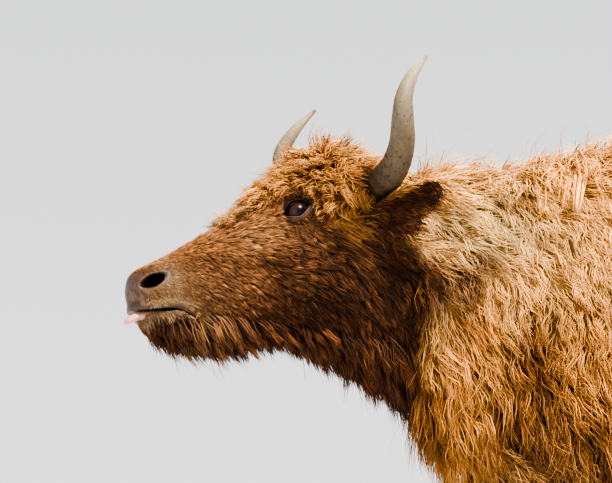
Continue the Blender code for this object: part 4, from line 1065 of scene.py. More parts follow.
def habit(name, points, normals, region_length):
    """How length and rise change over a region, as shares of the region's own."""
    l, g, u = in_head(points)
    _, y, z = (points - SHIFT).T
    length, rise = np.ones(len(points)), np.ones(len(points))
    eye = blob(l, g, u, (0.098, 0.298, 0.058), (0.036, 0.042, 0.030))
    if name == "muzzle":
        # Shortest at the nose and round the eye, longer on the chin
        length = (0.45 + 0.80 * smoothstep(0.03, 0.20, g)) * (1 - 0.45 * eye)
        length *= 1 + 0.9 * smoothstep(0.10, 0.05, g) * smoothstep(-0.060, -0.075, u)
    elif name == "cheek":
        # Longer towards the neck and in a tuft behind the eye
        length = (0.55 + 0.9 * smoothstep(0.27, 0.44, g)) * (1 - 0.72 * eye)
        length *= 1 + 0.7 * bell(g, 0.366, 0.016) * smoothstep(-0.02, 0.01, u)
    elif name == "jaw":
        # A beard under the chin, and longer again towards the throat
        length = 0.80 + 0.75 * bell(g, 0.120, 0.070) + 0.55 * smoothstep(0.24, 0.34, g)
        length += 0.6 * smoothstep(0.36, 0.46, g)
        length *= 0.7 + 0.3 * smoothstep(0.02, 0.06, g)
    elif name == "poll":
        # Longest between the horns, short over the brow, with a raised fringe in front
        length = 0.36 + 0.28 * smoothstep(0.20, 0.27, g) + 0.36 * smoothstep(0.30, 0.38, g)
        length -= 0.35 * smoothstep(0.42, 0.47, g)
        length *= 1 - 0.50 * smoothstep(0.070, 0.040, u) * (np.abs(l) > 0.05)
        brow = blob(l, g, u, (0.095, 0.298, 0.085), (0.040, 0.055, 0.026))
        length *= 1 - 0.62 * brow
        length += 0.16 * bell(g, 0.212, 0.026)
        rise = 0.50 + 0.50 * smoothstep(0.22, 0.33, g) + 0.45 * bell(g, 0.212, 0.026)
        rise *= 1 - 0.5 * brow
    elif name.startswith("neck"):
        # Longer below and on top, and short and flat behind the ear
        length = 0.75 + 0.55 * smoothstep(0.85, 0.62, z) + 0.15 * smoothstep(1.02, 1.12, z)
        ear = smoothstep(0.085, 0.035, np.hypot(g - 0.485, u - 0.035)) * (np.abs(l) > 0.05)
        length *= 1 - 0.62 * ear
        rise = (1 + 1.1 * smoothstep(0.45, 0.90, normals[:, 2])) * (1 - 0.6 * ear)
    elif name == "mane":
        length = 0.55 + 0.45 * smoothstep(-0.90, -0.78, y)
    elif name == "ear":
        length = 0.60 + 0.75 * smoothstep(0.44, 0.52, g) + 0.75 * smoothstep(0.020, -0.010, u)
    elif name == "barrel":
        rise = 1 + 0.9 * smoothstep(0.60, 0.95, normals[:, 2])
    elif name == "legs":
        above_claw = np.maximum(z - 0.058, 0.004)
        length = np.minimum(0.60 + 0.9 * smoothstep(0.22, 0.40, z), above_claw / region_length)
    elif name == "tail":
        length = 0.30 + 0.85 * smoothstep(0.88, 0.70, z) - 0.35 * smoothstep(0.36, 0.24, z)
    elif name == "skirt":
        length = 0.75 + 0.35 * smoothstep(0.66, 0.52, z)
    return length, rise


def grow(region, points, normals, random):
    """Paths of the tufts, an array of tufts by steps by three: each follows the lie, off the skin."""
    count = len(points)
    centres = random.choice(count, size=max(8, int(count / region.clump_size)), replace=False)
    finder = kdtree.KDTree(len(centres))
    for k, index in enumerate(centres):
        finder.insert(points[index], k)
    finder.balance()
    owner = np.array([finder.find(point)[1] for point in points])
    longer, steeper = habit(region.name, points, normals, region.length)
    lengths = region.length * longer * random.uniform(0.72, 1.20, len(centres))[owner]
    lengths = lengths * random.uniform(0.72, 1.15, count)
    # A few stray hairs stand off the coat
    stray = (random.random(count) < STRAY_SHARE) & (region.length > 0.025)
    lengths = np.where(stray, lengths * 1.25, lengths)
    # No hair passes the floor
    lengths = np.minimum(lengths, np.maximum(points[:, 2] - 0.02, 0.004))
    way = lie(points, normals, region.name)
    side = np.cross(normals, way)
    swing = lumps(points, 0.15, 21) * region.swirl + lumps(points, 0.06, 22) * region.swirl * 0.5
    of_clumps = (random.normal(size=len(centres)) * region.jitter)[owner]
    swing += of_clumps + random.normal(size=count) * region.jitter * 0.35
    way = unit(way * np.cos(swing)[:, None] + side * np.sin(swing)[:, None])
    lift = region.rise * steeper * random.uniform(0.6, 1.3, count) * np.where(stray, 2.0, 1.0)
    heading = unit(way + normals * lift[:, None])
    steps = region.segments
    path = np.empty((count, steps + 1, 3))
    spot = points.copy()
    for step in range(1, steps + 1):
        heading = unit(heading + DOWN * (region.fall / steps))
        spot = spot + heading * (lengths / steps)[:, None]
        found = [Skin.tree.find_nearest(p) for p in spot]
        near = np.array([f[0] for f in found])
        out = np.array([f[1] for f in found])
        height = ((spot - near) * out).sum(1)
        wanted = 0.0008 + 0.05 * lengths * step / steps
        spot = spot + out * np.maximum(0.0, wanted - height)[:, None]
        inward = np.minimum((heading * out).sum(1), 0.0)
        close = np.clip(1 - height / 0.02, 0, 1)
        heading = unit(heading - out * (inward * close * 0.9)[:, None])
        path[:, step] = spot
    path[:, 0] = points
    t = np.linspace(0, 1, steps + 1)
    apart = np.linalg.norm(points - points[centres][owner], axis=1)
    loose = stray | (apart > 0.5 * lengths + 0.006)
    pull = np.where(loose, 0.15, 1.0)[:, None] * region.clump * t[None] ** 1.3
    own = path - points[:, None]
    leader = path[centres][owner] - points[centres][owner][:, None]
    towards = (points[centres][owner] - points)[:, None] * 0.80
    path = points[:, None] + own * (1 - pull[..., None]) + (leader + towards) * pull[..., None]
    if region.curl > 0:
        along = unit(np.gradient(path, axis=1))
        sideways = unit(np.cross(along, normals[:, None]))
        over = np.cross(sideways, along)
        phase = random.uniform(0, 6.28, len(centres))[owner] + random.normal(size=count) * 0.5
        turns = (region.turns * random.uniform(0.7, 1.3, len(centres)))[owner]
        angle = phase[:, None] + turns[:, None] * 2 * math.pi * t[None]
        size = region.curl * np.minimum(t * 2.0, 1.0)[None]
        size = size * np.clip(lengths / region.length, 0.4, 1.4)[:, None]
        path = path + sideways * (np.sin(angle) * size)[..., None]
        path = path + over * ((np.cos(angle) * 0.5 + 0.5) * size)[..., None]
    path[:, 0] = points - normals * ROOT_DEPTH
    return path, owner, lengths, stray


def unwrap(points):
    """Where a spot lies on an unwrap of the skin's own shape: along the body and round it."""
    l, g, u = in_head(points)
    x, y, z = (points - SHIFT).T
    middle_z = np.interp(y, [-1.32, -0.90, -0.49, 0.75], [0.87, 0.93, 0.76, 0.78])
    middle_x = np.interp(y, [-1.32, -0.90, -0.67], [0.24, 0.06, 0.0])
    along = (y + 1.40) / 2.35 * 0.66 + 0.02
    round_it = (np.arctan2(z - middle_z, x - middle_x) / (2 * math.pi) + 0.5) * 0.94 + 0.03
    uv = np.stack((along, round_it), 1)
    for tile, (_, fx, fy) in enumerate(FEET.values()):
        low = (z < 0.44) & (np.abs(x - fx) < 0.10) & (np.abs(y - fy - 0.03) < 0.14)
        angle = np.arctan2(y - fy - 0.02, x - fx) / (2 * math.pi) + 0.5
        uv[low] = np.stack((0.72 + angle[low] * 0.11, 0.03 + tile * 0.24 + z[low] * 0.46), 1)
    tail = y > 0.775
    angle = np.arctan2(x, y - 0.85) / (2 * math.pi) + 0.5
    uv[tail] = np.stack((0.86 + angle[tail] * 0.11, 0.03 + z[tail] * 0.50), 1)
    ear = (np.abs(l) > 0.118) & (g > 0.40) & (g < 0.56) & (u < 0.08) & (u > -0.06) & (y < -0.6)
    upward = 0.56 + 0.2 * (l[ear] > 0) + (u[ear] + 0.06) * 0.9
    uv[ear] = np.stack((0.86 + (g[ear] - 0.40) * 0.6, upward), 1)
    return uv


def tuft_mesh(name, path, normals, widths, colours, roots, tones):
    """Three-sided, tapered, closed tufts along the paths, with their colours and bake map."""
    count, rows = path.shape[:2]
    along = unit(np.gradient(path, axis=1))
    side = unit(np.cross(along, normals[:, None]))
    over = np.cross(side, along)
    t = np.linspace(0, 1, rows)[:-1]
    shape = np.interp(t, (0, 0.25, 0.6, 1.0), (0.75, 1.0, 0.75, 0.05))
    half = widths[:, None] * shape[None] * 0.5
    body = path[:, :-1]
    corners = np.stack((body + side[:, :-1] * half[..., None], body - side[:, :-1] * half[..., None],
                        body + over[:, :-1] * (half * 1.1)[..., None]), axis=2).reshape(count, -1, 3)
    vertices = np.concatenate((corners, path[:, -1:]), axis=1)
    each = vertices.shape[1]
    pattern = [(0, 2, 1)]
    for row in range(rows - 2):
        for k in range(3):
            a, b = row * 3 + k, row * 3 + (k + 1) % 3
            pattern += [(a, b, b + 3), (a, b + 3, a + 3)]
    last = (rows - 2) * 3
    pattern += [(last + k, last + (k + 1) % 3, each - 1) for k in range(3)]
    # The corners run left, right, over, so each face is turned round to look out
    pattern = np.array(pattern)[:, ::-1]
    triangles = (pattern[None] + (np.arange(count) * each)[:, None, None]).reshape(-1, 3)
    mesh = mesh_from(name, vertices.reshape(-1, 3), triangles)
    # Painted shade at the root and painted light at the tip: darker at the root, lighter at the tip
    rows_of = np.concatenate((np.repeat(np.arange(rows - 1), 3), [rows - 1])) / (rows - 1)
    fade = np.interp(rows_of, (0, 0.35, 1.0), tones)
    colour = colours[:, None] * fade[None, :, None]
    data = np.concatenate((colour, np.ones((count, each, 1))), axis=2).astype(np.float32)
    mesh.attributes.new("Coat", "FLOAT_COLOR", "POINT").data.foreach_set("color", data.ravel())
    # Bake map: a small patch for each tuft, at its root's place on the unwrap
    across = np.concatenate((np.tile([0.0, 1.0, 0.5], rows - 1), [0.5]))
    spread = np.stack((across, rows_of), 1) * BAKE_PATCH - BAKE_PATCH / 2
    uv = (unwrap(roots)[:, None] + spread[None]).reshape(-1, 2)
    layer = mesh.uv_layers.new(name="OFBake")
    layer.data.foreach_set("uv", uv[triangles.ravel()].astype(np.float32).ravel())
    return mesh


def make_coat(region, material, number, density):
    """One region of the coat, in as many pieces as keep each under the limit of triangles."""
    random = np.random.default_rng(COAT_SEED + number)
    points, normals = scatter(max(60, int(region.count * density)), region.name, random)
    count = len(points)
    path, owner, lengths, stray = grow(region, points, normals, random)
    colours, _ = markings_and_painted_light(points)
    # Some clumps are bleached by the sun, and each tuft has its own tone
    clumps = owner.max() + 1
    bleached = ((random.random(clumps) < 0.22) * random.uniform(0.3, 0.8, clumps))[owner]
    pale = colours * 1.7 + POLL * 0.12
    colours = mix(colours, pale * np.minimum(1.0, 0.88 / pale.max(1, keepdims=True)), bleached)
    on_face = region.name in FACE_REGIONS
    tone = random.uniform(0.74, 1.26, clumps)[owner]
    tone = tone * random.uniform(*(FACE_RANGE if on_face else BODY_RANGE), count)
    warm = random.normal(size=count) * 0.06
    colours = colours * np.stack((tone * (1 + warm * 0.3), tone, tone * (1 - warm)), 1)
    widths = region.width * random.uniform(0.75, 1.25, count) * np.clip(lengths / region.length, 0.6, 1.3)
    widths = widths * min(1.9, density**-0.5)
    widths = np.where(stray, widths * 0.5, widths)
    triangles_each = 6 * region.segments - 2
    parts = max(1, math.ceil(count * triangles_each / PIECE_TRIANGLES))
    for part in range(parts):
        chosen = slice(part * count // parts, (part + 1) * count // parts)
        name = "coat_" + region.name + ("" if parts == 1 else "_%d" % (part + 1))
        mesh = tuft_mesh(name, path[chosen], normals[chosen], widths[chosen], colours[chosen], points[chosen],
                         FACE_SHADE_TONES if on_face else BODY_SHADE_TONES)
        piece = place_object(name, mesh, material)
        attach(piece, "root")


LASHES = 44
LASH_SEED = 77
LASH_WIDTH = 0.0009
LASH_BENDS = ((0.95, -0.10), (0.80, -0.50), (0.75, -0.35))


def make_lashes(material):
    """Upper lashes of both eyes, a fringe of fine tufts along the lid."""
    paths, outs, roots = [], [], []
    random = np.random.default_rng(LASH_SEED)
    for _, side in SIDES:
        centre, facing, along, over = eye_frame(side)
        for k in range(LASHES):
            share = (k + random.uniform(-0.3, 0.3)) / (LASHES - 1) * 2 - 1
            a = share * EYE_OPENING[0] * 0.44
            b = EYE_LIFT + EYE_OPENING[1] * 0.5 * (1 - abs(share) ** 1.45) ** 0.69
            start = centre + along * a + over * (b + 0.0004) + facing * 0.06
            root = np.array(Skin.tree.ray_cast(Vector(start), Vector(-facing))[0])
            length = random.uniform(0.011, 0.016) * (0.65 + 0.35 * math.cos(share * 1.3))
            lean = along * (share * 0.35 + random.uniform(-0.12, 0.12))
            spots = [root - facing * 0.001]
            for forth, rise in LASH_BENDS:
                spots.append(spots[-1] + (facing * forth + over * rise + lean) * length / 3)
            paths.append(spots)
            outs.append(over)
            roots.append(root)
    count = len(paths)
    mesh = tuft_mesh("eyelashes", np.array(paths), np.array(outs), np.full(count, LASH_WIDTH),
                     np.tile(DARK * 0.35, (count, 1)), np.array(roots), BODY_SHADE_TONES)
    piece = place_object("eyelashes", mesh, material)
    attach(piece, "root")


# Materials

HORN_COLOURS = (
    (0.08, (0.040, 0.023, 0.010)), (0.22, (0.062, 0.039, 0.020)), (0.42, (0.130, 0.096, 0.057)),
    (0.72, (0.190, 0.150, 0.098)), (0.93, (0.360, 0.290, 0.190)), (1.00, (0.200, 0.140, 0.080)),
)
HORN_SPECK = (0.050, 0.032, 0.018)
EYE_COLOURS = (
    (0.30, (0.004, 0.003, 0.006)), (0.44, (0.030, 0.014, 0.010)), (0.74, (0.040, 0.020, 0.014)),
    (0.84, (0.010, 0.006, 0.006)), (0.95, (0.060, 0.040, 0.034)),
)
CLAW_COLOUR = (0.060, 0.044, 0.034)
TONGUE_COLOUR = (0.72, 0.35, 0.26)


def set_inputs(node, values):
    for name, value in values.items():
        node.inputs[name].default_value = value


def new_material(name, values):
    """A material, its nodes and links, and its shader with the given values."""
    material = bpy.data.materials.new(name)
    material.use_nodes = True
    nodes, links = material.node_tree.nodes, material.node_tree.links
    shader = nodes["Principled BSDF"]
    set_inputs(shader, values)
    return material, nodes, links, shader


def add_attribute(nodes, name):
    node = nodes.new("ShaderNodeAttribute")
    node.attribute_name = name
    return node


def add_texture(nodes, links, kind, values):
    """A procedural texture that reads the piece's own Object coordinates."""
    node = nodes.new(kind)
    set_inputs(node, values)
    space = nodes.new("ShaderNodeTexCoord")
    links.new(space.outputs["Object"], node.inputs["Vector"])
    return node


def add_range(nodes, links, value, values):
    node = nodes.new("ShaderNodeMapRange")
    set_inputs(node, values)
    links.new(value, node.inputs["Value"])
    return node


def add_ramp(nodes, links, value, stops):
    """A colour ramp through stops of place and colour."""
    node = nodes.new("ShaderNodeValToRGB")
    elements = node.color_ramp.elements
    elements[0].position = stops[0][0]
    elements[-1].position = stops[-1][0]
    for place, _ in stops[1:-1]:
        elements.new(place)
    for element, (_, colour) in zip(elements, stops):
        element.color = (*colour, 1)
    links.new(value, node.inputs["Fac"])
    return node.outputs["Color"]


def add_math(nodes, links, operation, *values):
    node = nodes.new("ShaderNodeMath")
    node.operation = operation
    for socket, value in zip(node.inputs, values):
        if isinstance(value, bpy.types.NodeSocket):
            links.new(value, socket)
        else:
            socket.default_value = value
    return node.outputs[0]


def add_sockets(face, way, *sockets):
    """Named sockets of a node group, each with a default where one is given."""
    for name, kind, *default in sockets:
        socket = face.new_socket(name, in_out=way, socket_type="NodeSocket" + kind)
        if default:
            socket.default_value = default[0]


def uneven_group():
    """Shared effect: a noise that varies a colour and gives a height."""
    group = bpy.data.node_groups.new("Uneven surface", "ShaderNodeTree")
    add_sockets(group.interface, "INPUT", ("Vector", "Vector"), ("Color", "Color"), ("Scale", "Float", 60.0),
                ("Amount", "Float", 0.3))
    add_sockets(group.interface, "OUTPUT", ("Color", "Color"), ("Height", "Float"))
    nodes, links = group.nodes, group.links
    start, end = nodes.new("NodeGroupInput"), nodes.new("NodeGroupOutput")
    noise = nodes.new("ShaderNodeTexNoise")
    noise.inputs["Detail"].default_value = 5
    links.new(start.outputs["Vector"], noise.inputs["Vector"])
    links.new(start.outputs["Scale"], noise.inputs["Scale"])
    spread = add_range(nodes, links, noise.outputs["Fac"], {"To Min": -1.0})
    amount = add_math(nodes, links, "MULTIPLY_ADD", spread.outputs["Result"], start.outputs["Amount"], 1.0)
    tone = nodes.new("ShaderNodeVectorMath")
    tone.operation = "SCALE"
    links.new(start.outputs["Color"], tone.inputs[0])
    links.new(amount, tone.inputs["Scale"])
    links.new(tone.outputs[0], end.inputs["Color"])
    links.new(noise.outputs["Fac"], end.inputs["Height"])
    return group


def add_uneven(nodes, links, group, scale, amount, stretch=(1, 1, 1), turn=(0, 0, 0)):
    """The shared unevenness on Object coordinates, stretched and turned."""
    mapping = add_texture(nodes, links, "ShaderNodeMapping", {"Scale": stretch, "Rotation": turn})
    node = nodes.new("ShaderNodeGroup")
    node.node_tree = group
    set_inputs(node, {"Scale": scale, "Amount": amount})
    links.new(mapping.outputs["Vector"], node.inputs["Vector"])
    return node


def add_bump(nodes, links, height, shader, strength, distance):
    node = nodes.new("ShaderNodeBump")
    set_inputs(node, {"Strength": strength, "Distance": distance})
    links.new(height, node.inputs["Height"])
    links.new(node.outputs["Normal"], shader.inputs["Normal"])


def coat_material(group):
    """Matt hair in the colour that each tuft carries."""
    material, nodes, links, shader = new_material("coat_hair", {
        "Roughness": 0.52, "Specular IOR Level": 0.18, "Sheen Weight": 0.04, "Sheen Roughness": 0.45})
    uneven = add_uneven(nodes, links, group, 420.0, 0.22)
    links.new(add_attribute(nodes, "Coat").outputs["Color"], uneven.inputs["Color"])
    links.new(uneven.outputs["Color"], shader.inputs["Base Color"])
    return material


def skin_material(group):
    """Short fur as fine relief along the head, and smoother, pored skin where it is bare."""
    material, nodes, links, shader = new_material("short_fur_and_skin", {"Specular IOR Level": 0.22})
    bare = add_attribute(nodes, "Bare").outputs["Fac"]
    fur = add_uneven(nodes, links, group, 260.0, 0.45, (1.0, 0.28, 1.0), (HEAD_PITCH, 0, -HEAD_YAW))
    links.new(add_attribute(nodes, "Coat").outputs["Color"], fur.inputs["Color"])
    links.new(fur.outputs["Color"], shader.inputs["Base Color"])
    pores = add_texture(nodes, links, "ShaderNodeTexVoronoi", {"Scale": 340.0})
    height = nodes.new("ShaderNodeMix")
    links.new(bare, height.inputs["Factor"])
    links.new(fur.outputs["Height"], height.inputs["A"])
    links.new(pores.outputs["Distance"], height.inputs["B"])
    rough = add_range(nodes, links, bare, {"To Min": 0.85, "To Max": 0.40})
    links.new(rough.outputs["Result"], shader.inputs["Roughness"])
    add_bump(nodes, links, height.outputs["Result"], shader, 0.55, 0.0012)
    return material


def horn_material(group):
    """Grey-beige horn, dark and speckled at its base, pale towards the tip, with fine relief."""
    material, nodes, links, shader = new_material("horn_sheath", {
        "Roughness": 0.58, "Specular IOR Level": 0.30})
    along = add_attribute(nodes, "Along").outputs["Fac"]
    uneven = add_uneven(nodes, links, group, 150.0, 0.40)
    links.new(add_ramp(nodes, links, along, HORN_COLOURS), uneven.inputs["Color"])
    # Dark specks and streaks, thick at the base and thinning out along the horn
    specks = add_texture(nodes, links, "ShaderNodeTexNoise", {"Scale": 170.0, "Detail": 3})
    reach = add_range(nodes, links, along, {"From Max": 0.55, "To Min": 0.455, "To Max": 0.62})
    over = add_math(nodes, links, "SUBTRACT", specks.outputs["Fac"], reach.outputs["Result"])
    share = add_math(nodes, links, "MULTIPLY", over, 11.0)
    share.node.use_clamp = True
    dark = nodes.new("ShaderNodeMix")
    dark.data_type = "RGBA"
    dark.inputs["B"].default_value = (*HORN_SPECK, 1)
    links.new(share, dark.inputs["Factor"])
    links.new(uneven.outputs["Color"], dark.inputs["A"])
    links.new(dark.outputs["Result"], shader.inputs["Base Color"])
    add_bump(nodes, links, uneven.outputs["Height"], shader, 0.60, 0.0012)
    return material


def eye_material():
    """A dark brown iris with a wide dark pupil under a wet, clear coat."""
    material, nodes, links, shader = new_material("eyeball", {
        "Roughness": 0.28, "Specular IOR Level": 0.14, "Coat Weight": 0.10, "Coat Roughness": 0.06})
    across = add_attribute(nodes, "Iris").outputs["Fac"]
    links.new(add_ramp(nodes, links, across, EYE_COLOURS), shader.inputs["Base Color"])
    return material


def one_colour_material(name, group, colour, roughness, scale, amount, stretch=(1, 1, 1), relief=None):
    """A surface of one colour, varied by the shared unevenness, with relief where it is given."""
    material, nodes, links, shader = new_material(name, {"Roughness": roughness})
    uneven = add_uneven(nodes, links, group, scale, amount, stretch)
    uneven.inputs["Color"].default_value = (*colour, 1)
    links.new(uneven.outputs["Color"], shader.inputs["Base Color"])
    if relief:
        add_bump(nodes, links, uneven.outputs["Height"], shader, *relief)
    return material


class Looks:
    """The materials and their shared node group, made once."""

    made = {}
    group = None


def look_group():
    if Looks.group is None:
        Looks.group = uneven_group()
    return Looks.group


def look(name):
    if not Looks.made:
        group = look_group()
        Looks.made = {
            "coat": coat_material(group),
            "skin": skin_material(group),
            "horn": horn_material(group),
            "claw": one_colour_material("claw_horn", group, CLAW_COLOUR, 0.50, 90.0, 0.50, (1, 1, 7),
                                        relief=(0.5, 0.0015)),
            "eye": eye_material(),
            "tongue": one_colour_material("tongue_flesh", group, TONGUE_COLOUR, 0.34, 500.0, 0.18,
                                          relief=(0.4, 0.0006)),
        }
    return Looks.made[name]


# Operators


class YakSettings(bpy.types.PropertyGroup):
    """Sizes and colours that a user would change."""

    density: FloatProperty(
        name="Coat density", description="Share of the full number of tufts", default=1.0, min=0.02, max=1.5)
    ring_count: IntProperty(
        name="Horn rings", description="Low rings round the base of each horn", default=7, min=0, max=20)
    ring_height: FloatProperty(
        name="Ring height", description="How far a horn's ring stands out", default=0.0009,
        subtype="DISTANCE", unit="LENGTH")
    lens: FloatProperty(name="Lens", description="Focal length of the camera in millimetres", default=158.97)
    distance: FloatProperty(
        name="Camera distance", description="From the camera to the middle of its view", default=4.7,
        subtype="DISTANCE", unit="LENGTH")
    rise: FloatProperty(
        name="Camera rise", description="How far the camera looks up", default=math.radians(9.5),
        subtype="ANGLE", unit="ROTATION")
    floor_colour: FloatVectorProperty(
        name="Floor", description="Colour of the studio floor", subtype="COLOR", default=(0.50, 0.505, 0.51))


class YAK_OT_skin(bpy.types.Operator):
    """Make the one skin of head, body, legs, ears and tail"""

    bl_idname = "yak.skin"
    bl_label = "Skin"

    def execute(self, context):
        make_skin(look("skin"))
        return {"FINISHED"}


class YAK_OT_coat(bpy.types.Operator):
    """Grow the coat's tufts, region by region"""

    bl_idname = "yak.coat"
    bl_label = "Coat"

    def execute(self, context):
        density = context.scene.yak.density * 1.0
        for number, region in enumerate(REGIONS):
            make_coat(region, look("coat"), number, density)
        make_lashes(look("coat"))
        return {"FINISHED"}


def add_wave(nodes, links, along, count, start, end):
    """A ripple along the horn that dies out between two shares of its length."""
    ripple = add_math(nodes, links, "SINE", add_math(nodes, links, "MULTIPLY", along, count))
    fading = add_range(nodes, links, along, {
        "From Min": start, "From Max": end, "To Min": 1.0, "To Max": 0.0})
    fading.interpolation_type = "SMOOTHSTEP"
    return add_math(nodes, links, "MULTIPLY", ripple, fading.outputs["Result"])


def add_named(nodes, name):
    """Reads a value that the points of the horn carry."""
    node = nodes.new("GeometryNodeInputNamedAttribute")
    node.inputs["Name"].default_value = name
    return node.outputs["Attribute"]


def horn_tree():
    """Geometry Nodes for a horn: a round tube along a path of points with a Radius, with low rings."""
    tree = bpy.data.node_groups.new("Ringed horn", "GeometryNodeTree")
    nodes, links = tree.nodes, tree.links
    add_sockets(tree.interface, "INPUT", ("Geometry", "Geometry"), ("Rings", "Float"), ("Height", "Float"),
                ("Material", "Material"))
    add_sockets(tree.interface, "OUTPUT", ("Geometry", "Geometry"))
    start, end = nodes.new("NodeGroupInput"), nodes.new("NodeGroupOutput")
    # The path as a curve, with each point's share of the length kept as Along
    path = nodes.new("GeometryNodeMeshToCurve")
    links.new(start.outputs["Geometry"], path.inputs["Mesh"])
    place = nodes.new("GeometryNodeSplineParameter")
    mark = nodes.new("GeometryNodeStoreNamedAttribute")
    mark.inputs["Name"].default_value = "Along"
    links.new(path.outputs["Curve"], mark.inputs["Geometry"])
    links.new(place.outputs["Factor"], mark.inputs["Value"])
    # The tube round it, as thick as each point's Radius
    circle = nodes.new("GeometryNodeCurvePrimitiveCircle")
    set_inputs(circle, {"Resolution": HORN_SIDES, "Radius": 1.0})
    tube = nodes.new("GeometryNodeCurveToMesh")
    tube.inputs["Fill Caps"].default_value = True
    links.new(mark.outputs["Geometry"], tube.inputs["Curve"])
    links.new(circle.outputs["Curve"], tube.inputs["Profile Curve"])
    links.new(add_named(nodes, "Radius"), tube.inputs["Scale"])
    # Low rings round the base, with fine grooves that reach further, as a move along the normal
    along = add_named(nodes, "Along")
    per_length = add_math(nodes, links, "MULTIPLY", start.outputs["Rings"], 2 * math.pi / HORN_RINGED)
    rings = add_wave(nodes, links, along, per_length, 0.20, 0.46)
    grooves = add_wave(nodes, links, along, HORN_GROOVES * 2 * math.pi, 0.30, 0.75)
    relief = add_math(nodes, links, "ADD", rings, add_math(nodes, links, "MULTIPLY", grooves, 0.35))
    height = add_math(nodes, links, "MULTIPLY", relief, start.outputs["Height"])
    normal = nodes.new("GeometryNodeInputNormal")
    offset = nodes.new("ShaderNodeVectorMath")
    offset.operation = "SCALE"
    links.new(normal.outputs["Normal"], offset.inputs[0])
    links.new(height, offset.inputs["Scale"])
    move = nodes.new("GeometryNodeSetPosition")
    links.new(tube.outputs["Mesh"], move.inputs["Geometry"])
    links.new(offset.outputs["Vector"], move.inputs["Offset"])
    realize = nodes.new("GeometryNodeRealizeInstances")
    links.new(move.outputs["Geometry"], realize.inputs["Geometry"])
    finish = nodes.new("GeometryNodeSetMaterial")
    links.new(realize.outputs["Geometry"], finish.inputs["Geometry"])
    links.new(start.outputs["Material"], finish.inputs["Material"])
    links.new(finish.outputs["Geometry"], end.inputs["Geometry"])
    return tree


def tree_inputs(tree):
    return {item.name: item.identifier for item in tree.interface.items_tree if item.in_out == "INPUT"}


class YAK_OT_horns(bpy.types.Operator):
    """Make both horns with low rings round their bases"""

    bl_idname = "yak.horns"
    bl_label = "Horns"

    def execute(self, context):
        settings = context.scene.yak
        tree = horn_tree()
        names = tree_inputs(tree)
        for word, side in SIDES:
            points = np.array([head_point(side * l, g, u) for l, g, u in HORN_PATH])
            places = np.linspace(0, len(points) - 1, (len(points) - 1) * HORN_STEPS + 1)
            spots = spline(points, places)
            # One more point rounds off the tip
            spots = np.vstack((spots, spots[-1] + unit(points[-1] - points[-2]) * HORN_TIP_LENGTH))
            radii = np.append(spline(HORN_RADII, places), HORN_TIP_RADIUS).astype(np.float32)
            path = bpy.data.meshes.new("horn_path")
            path.from_pydata([tuple(spot) for spot in spots], [(k, k + 1) for k in range(len(spots) - 1)], [])
            path.attributes.new("Radius", "FLOAT", "POINT").data.foreach_set("value", radii)
            horn = place_object("horn_sheath_" + word, path)
            modifier = horn.modifiers.new("ringed_horn", "NODES")
            modifier.node_group = tree
            modifier[names["Rings"]] = float(settings.ring_count)
            modifier[names["Height"]] = settings.ring_height
            modifier[names["Material"]] = look("horn")
            context.view_layer.update()
            made = bpy.data.meshes.new_from_object(horn.evaluated_get(context.evaluated_depsgraph_get()))
            horn.modifiers.clear()
            horn.data = outward(made)
            for polygon in made.polygons:
                polygon.use_smooth = True
            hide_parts("horn_" + word)
            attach(horn, "root")
        return {"FINISHED"}


class YAK_OT_eyes(bpy.types.Operator):
    """Make both eyeballs, with iris and wet shine"""

    bl_idname = "yak.eyes"
    bl_label = "Eyes"

    def execute(self, context):
        for word, side in SIDES:
            centre = head_point(side * EYE_PLACE[0], EYE_PLACE[1], EYE_PLACE[2])
            facing = head_direction(side * EYE_FACES[0], EYE_FACES[1], EYE_FACES[2])
            eye = ball("eyeball_" + word, centre, EYE_RADIUS, facing)
            away = mesh_points(eye.data) - centre
            along = away @ FORWARD / EYE_RADIUS
            over = away @ UP / EYE_RADIUS
            # The iris is a little wider than high
            iris = np.sqrt((along / 1.15) ** 2 + (over / 0.95) ** 2).astype(np.float32)
            eye.data.attributes.new("Iris", "FLOAT", "POINT").data.foreach_set("value", iris)
            eye.data.materials.append(look("eye"))
            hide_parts("eye_" + word)
            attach(eye, "root")
        return {"FINISHED"}


class YAK_OT_claws(bpy.types.Operator):
    """Make the eight claws and the dewclaws"""

    bl_idname = "yak.claws"
    bl_label = "Claws"

    def execute(self, context):
        rows = spline(np.array(CLAW_SECTIONS), np.linspace(0, len(CLAW_SECTIONS) - 1, CLAW_ROWS))
        angle = np.linspace(0, 2 * math.pi, CLAW_SIDES, endpoint=False)
        c, s = superellipse(angle, np.full_like(angle, 2.3))
        narrowing = 1 - 0.22 * np.maximum(0.0, -s)
        for leg_name, (sections, x, y) in FEET.items():
            base = sections[-1].back - CLAW_SECTIONS[0].back
            for side in (-1, 1):
                rings = np.empty((CLAW_ROWS, CLAW_SIDES, 3))
                rings[..., 0] = x + SHIFT[0] + side * CLAW_SPREAD + (c * narrowing)[None] * rows[:, 2:3]
                rings[..., 1] = y + SHIFT[1] + base + rows[:, 1:2] + s[None] * rows[:, 3:4]
                rings[..., 2] = rows[:, 0:1]
                place = "inner" if side * x < 0 else "outer"
                node = leg_name.replace("leg", "hoof") + "_" + place
                claw = solid("claw_" + node[5:], rings, None, None, look("claw"))
                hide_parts(node)
                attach(claw, "root")
            pastern = sections[-3].back
            for side in (-1, 1):
                path = np.array([(x + side * out, y + pastern + back, up)
                                 for out, back, up in DEWCLAW_PATH]) + SHIFT
                rings, _ = tube_rings(path, DEWCLAW_RADII, 20, 6, SIDEWAYS)
                rings = np.concatenate((rings, domed(rings[-1], unit(path[-1] - path[-2]), DEWCLAW_CAP)))
                dew_name = "dewclaw_%s_%s" % (leg_name[4:], "a" if side < 0 else "b")
                dew = solid(dew_name, rings, None, None, look("claw"))
                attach(dew, "root")
        return {"FINISHED"}


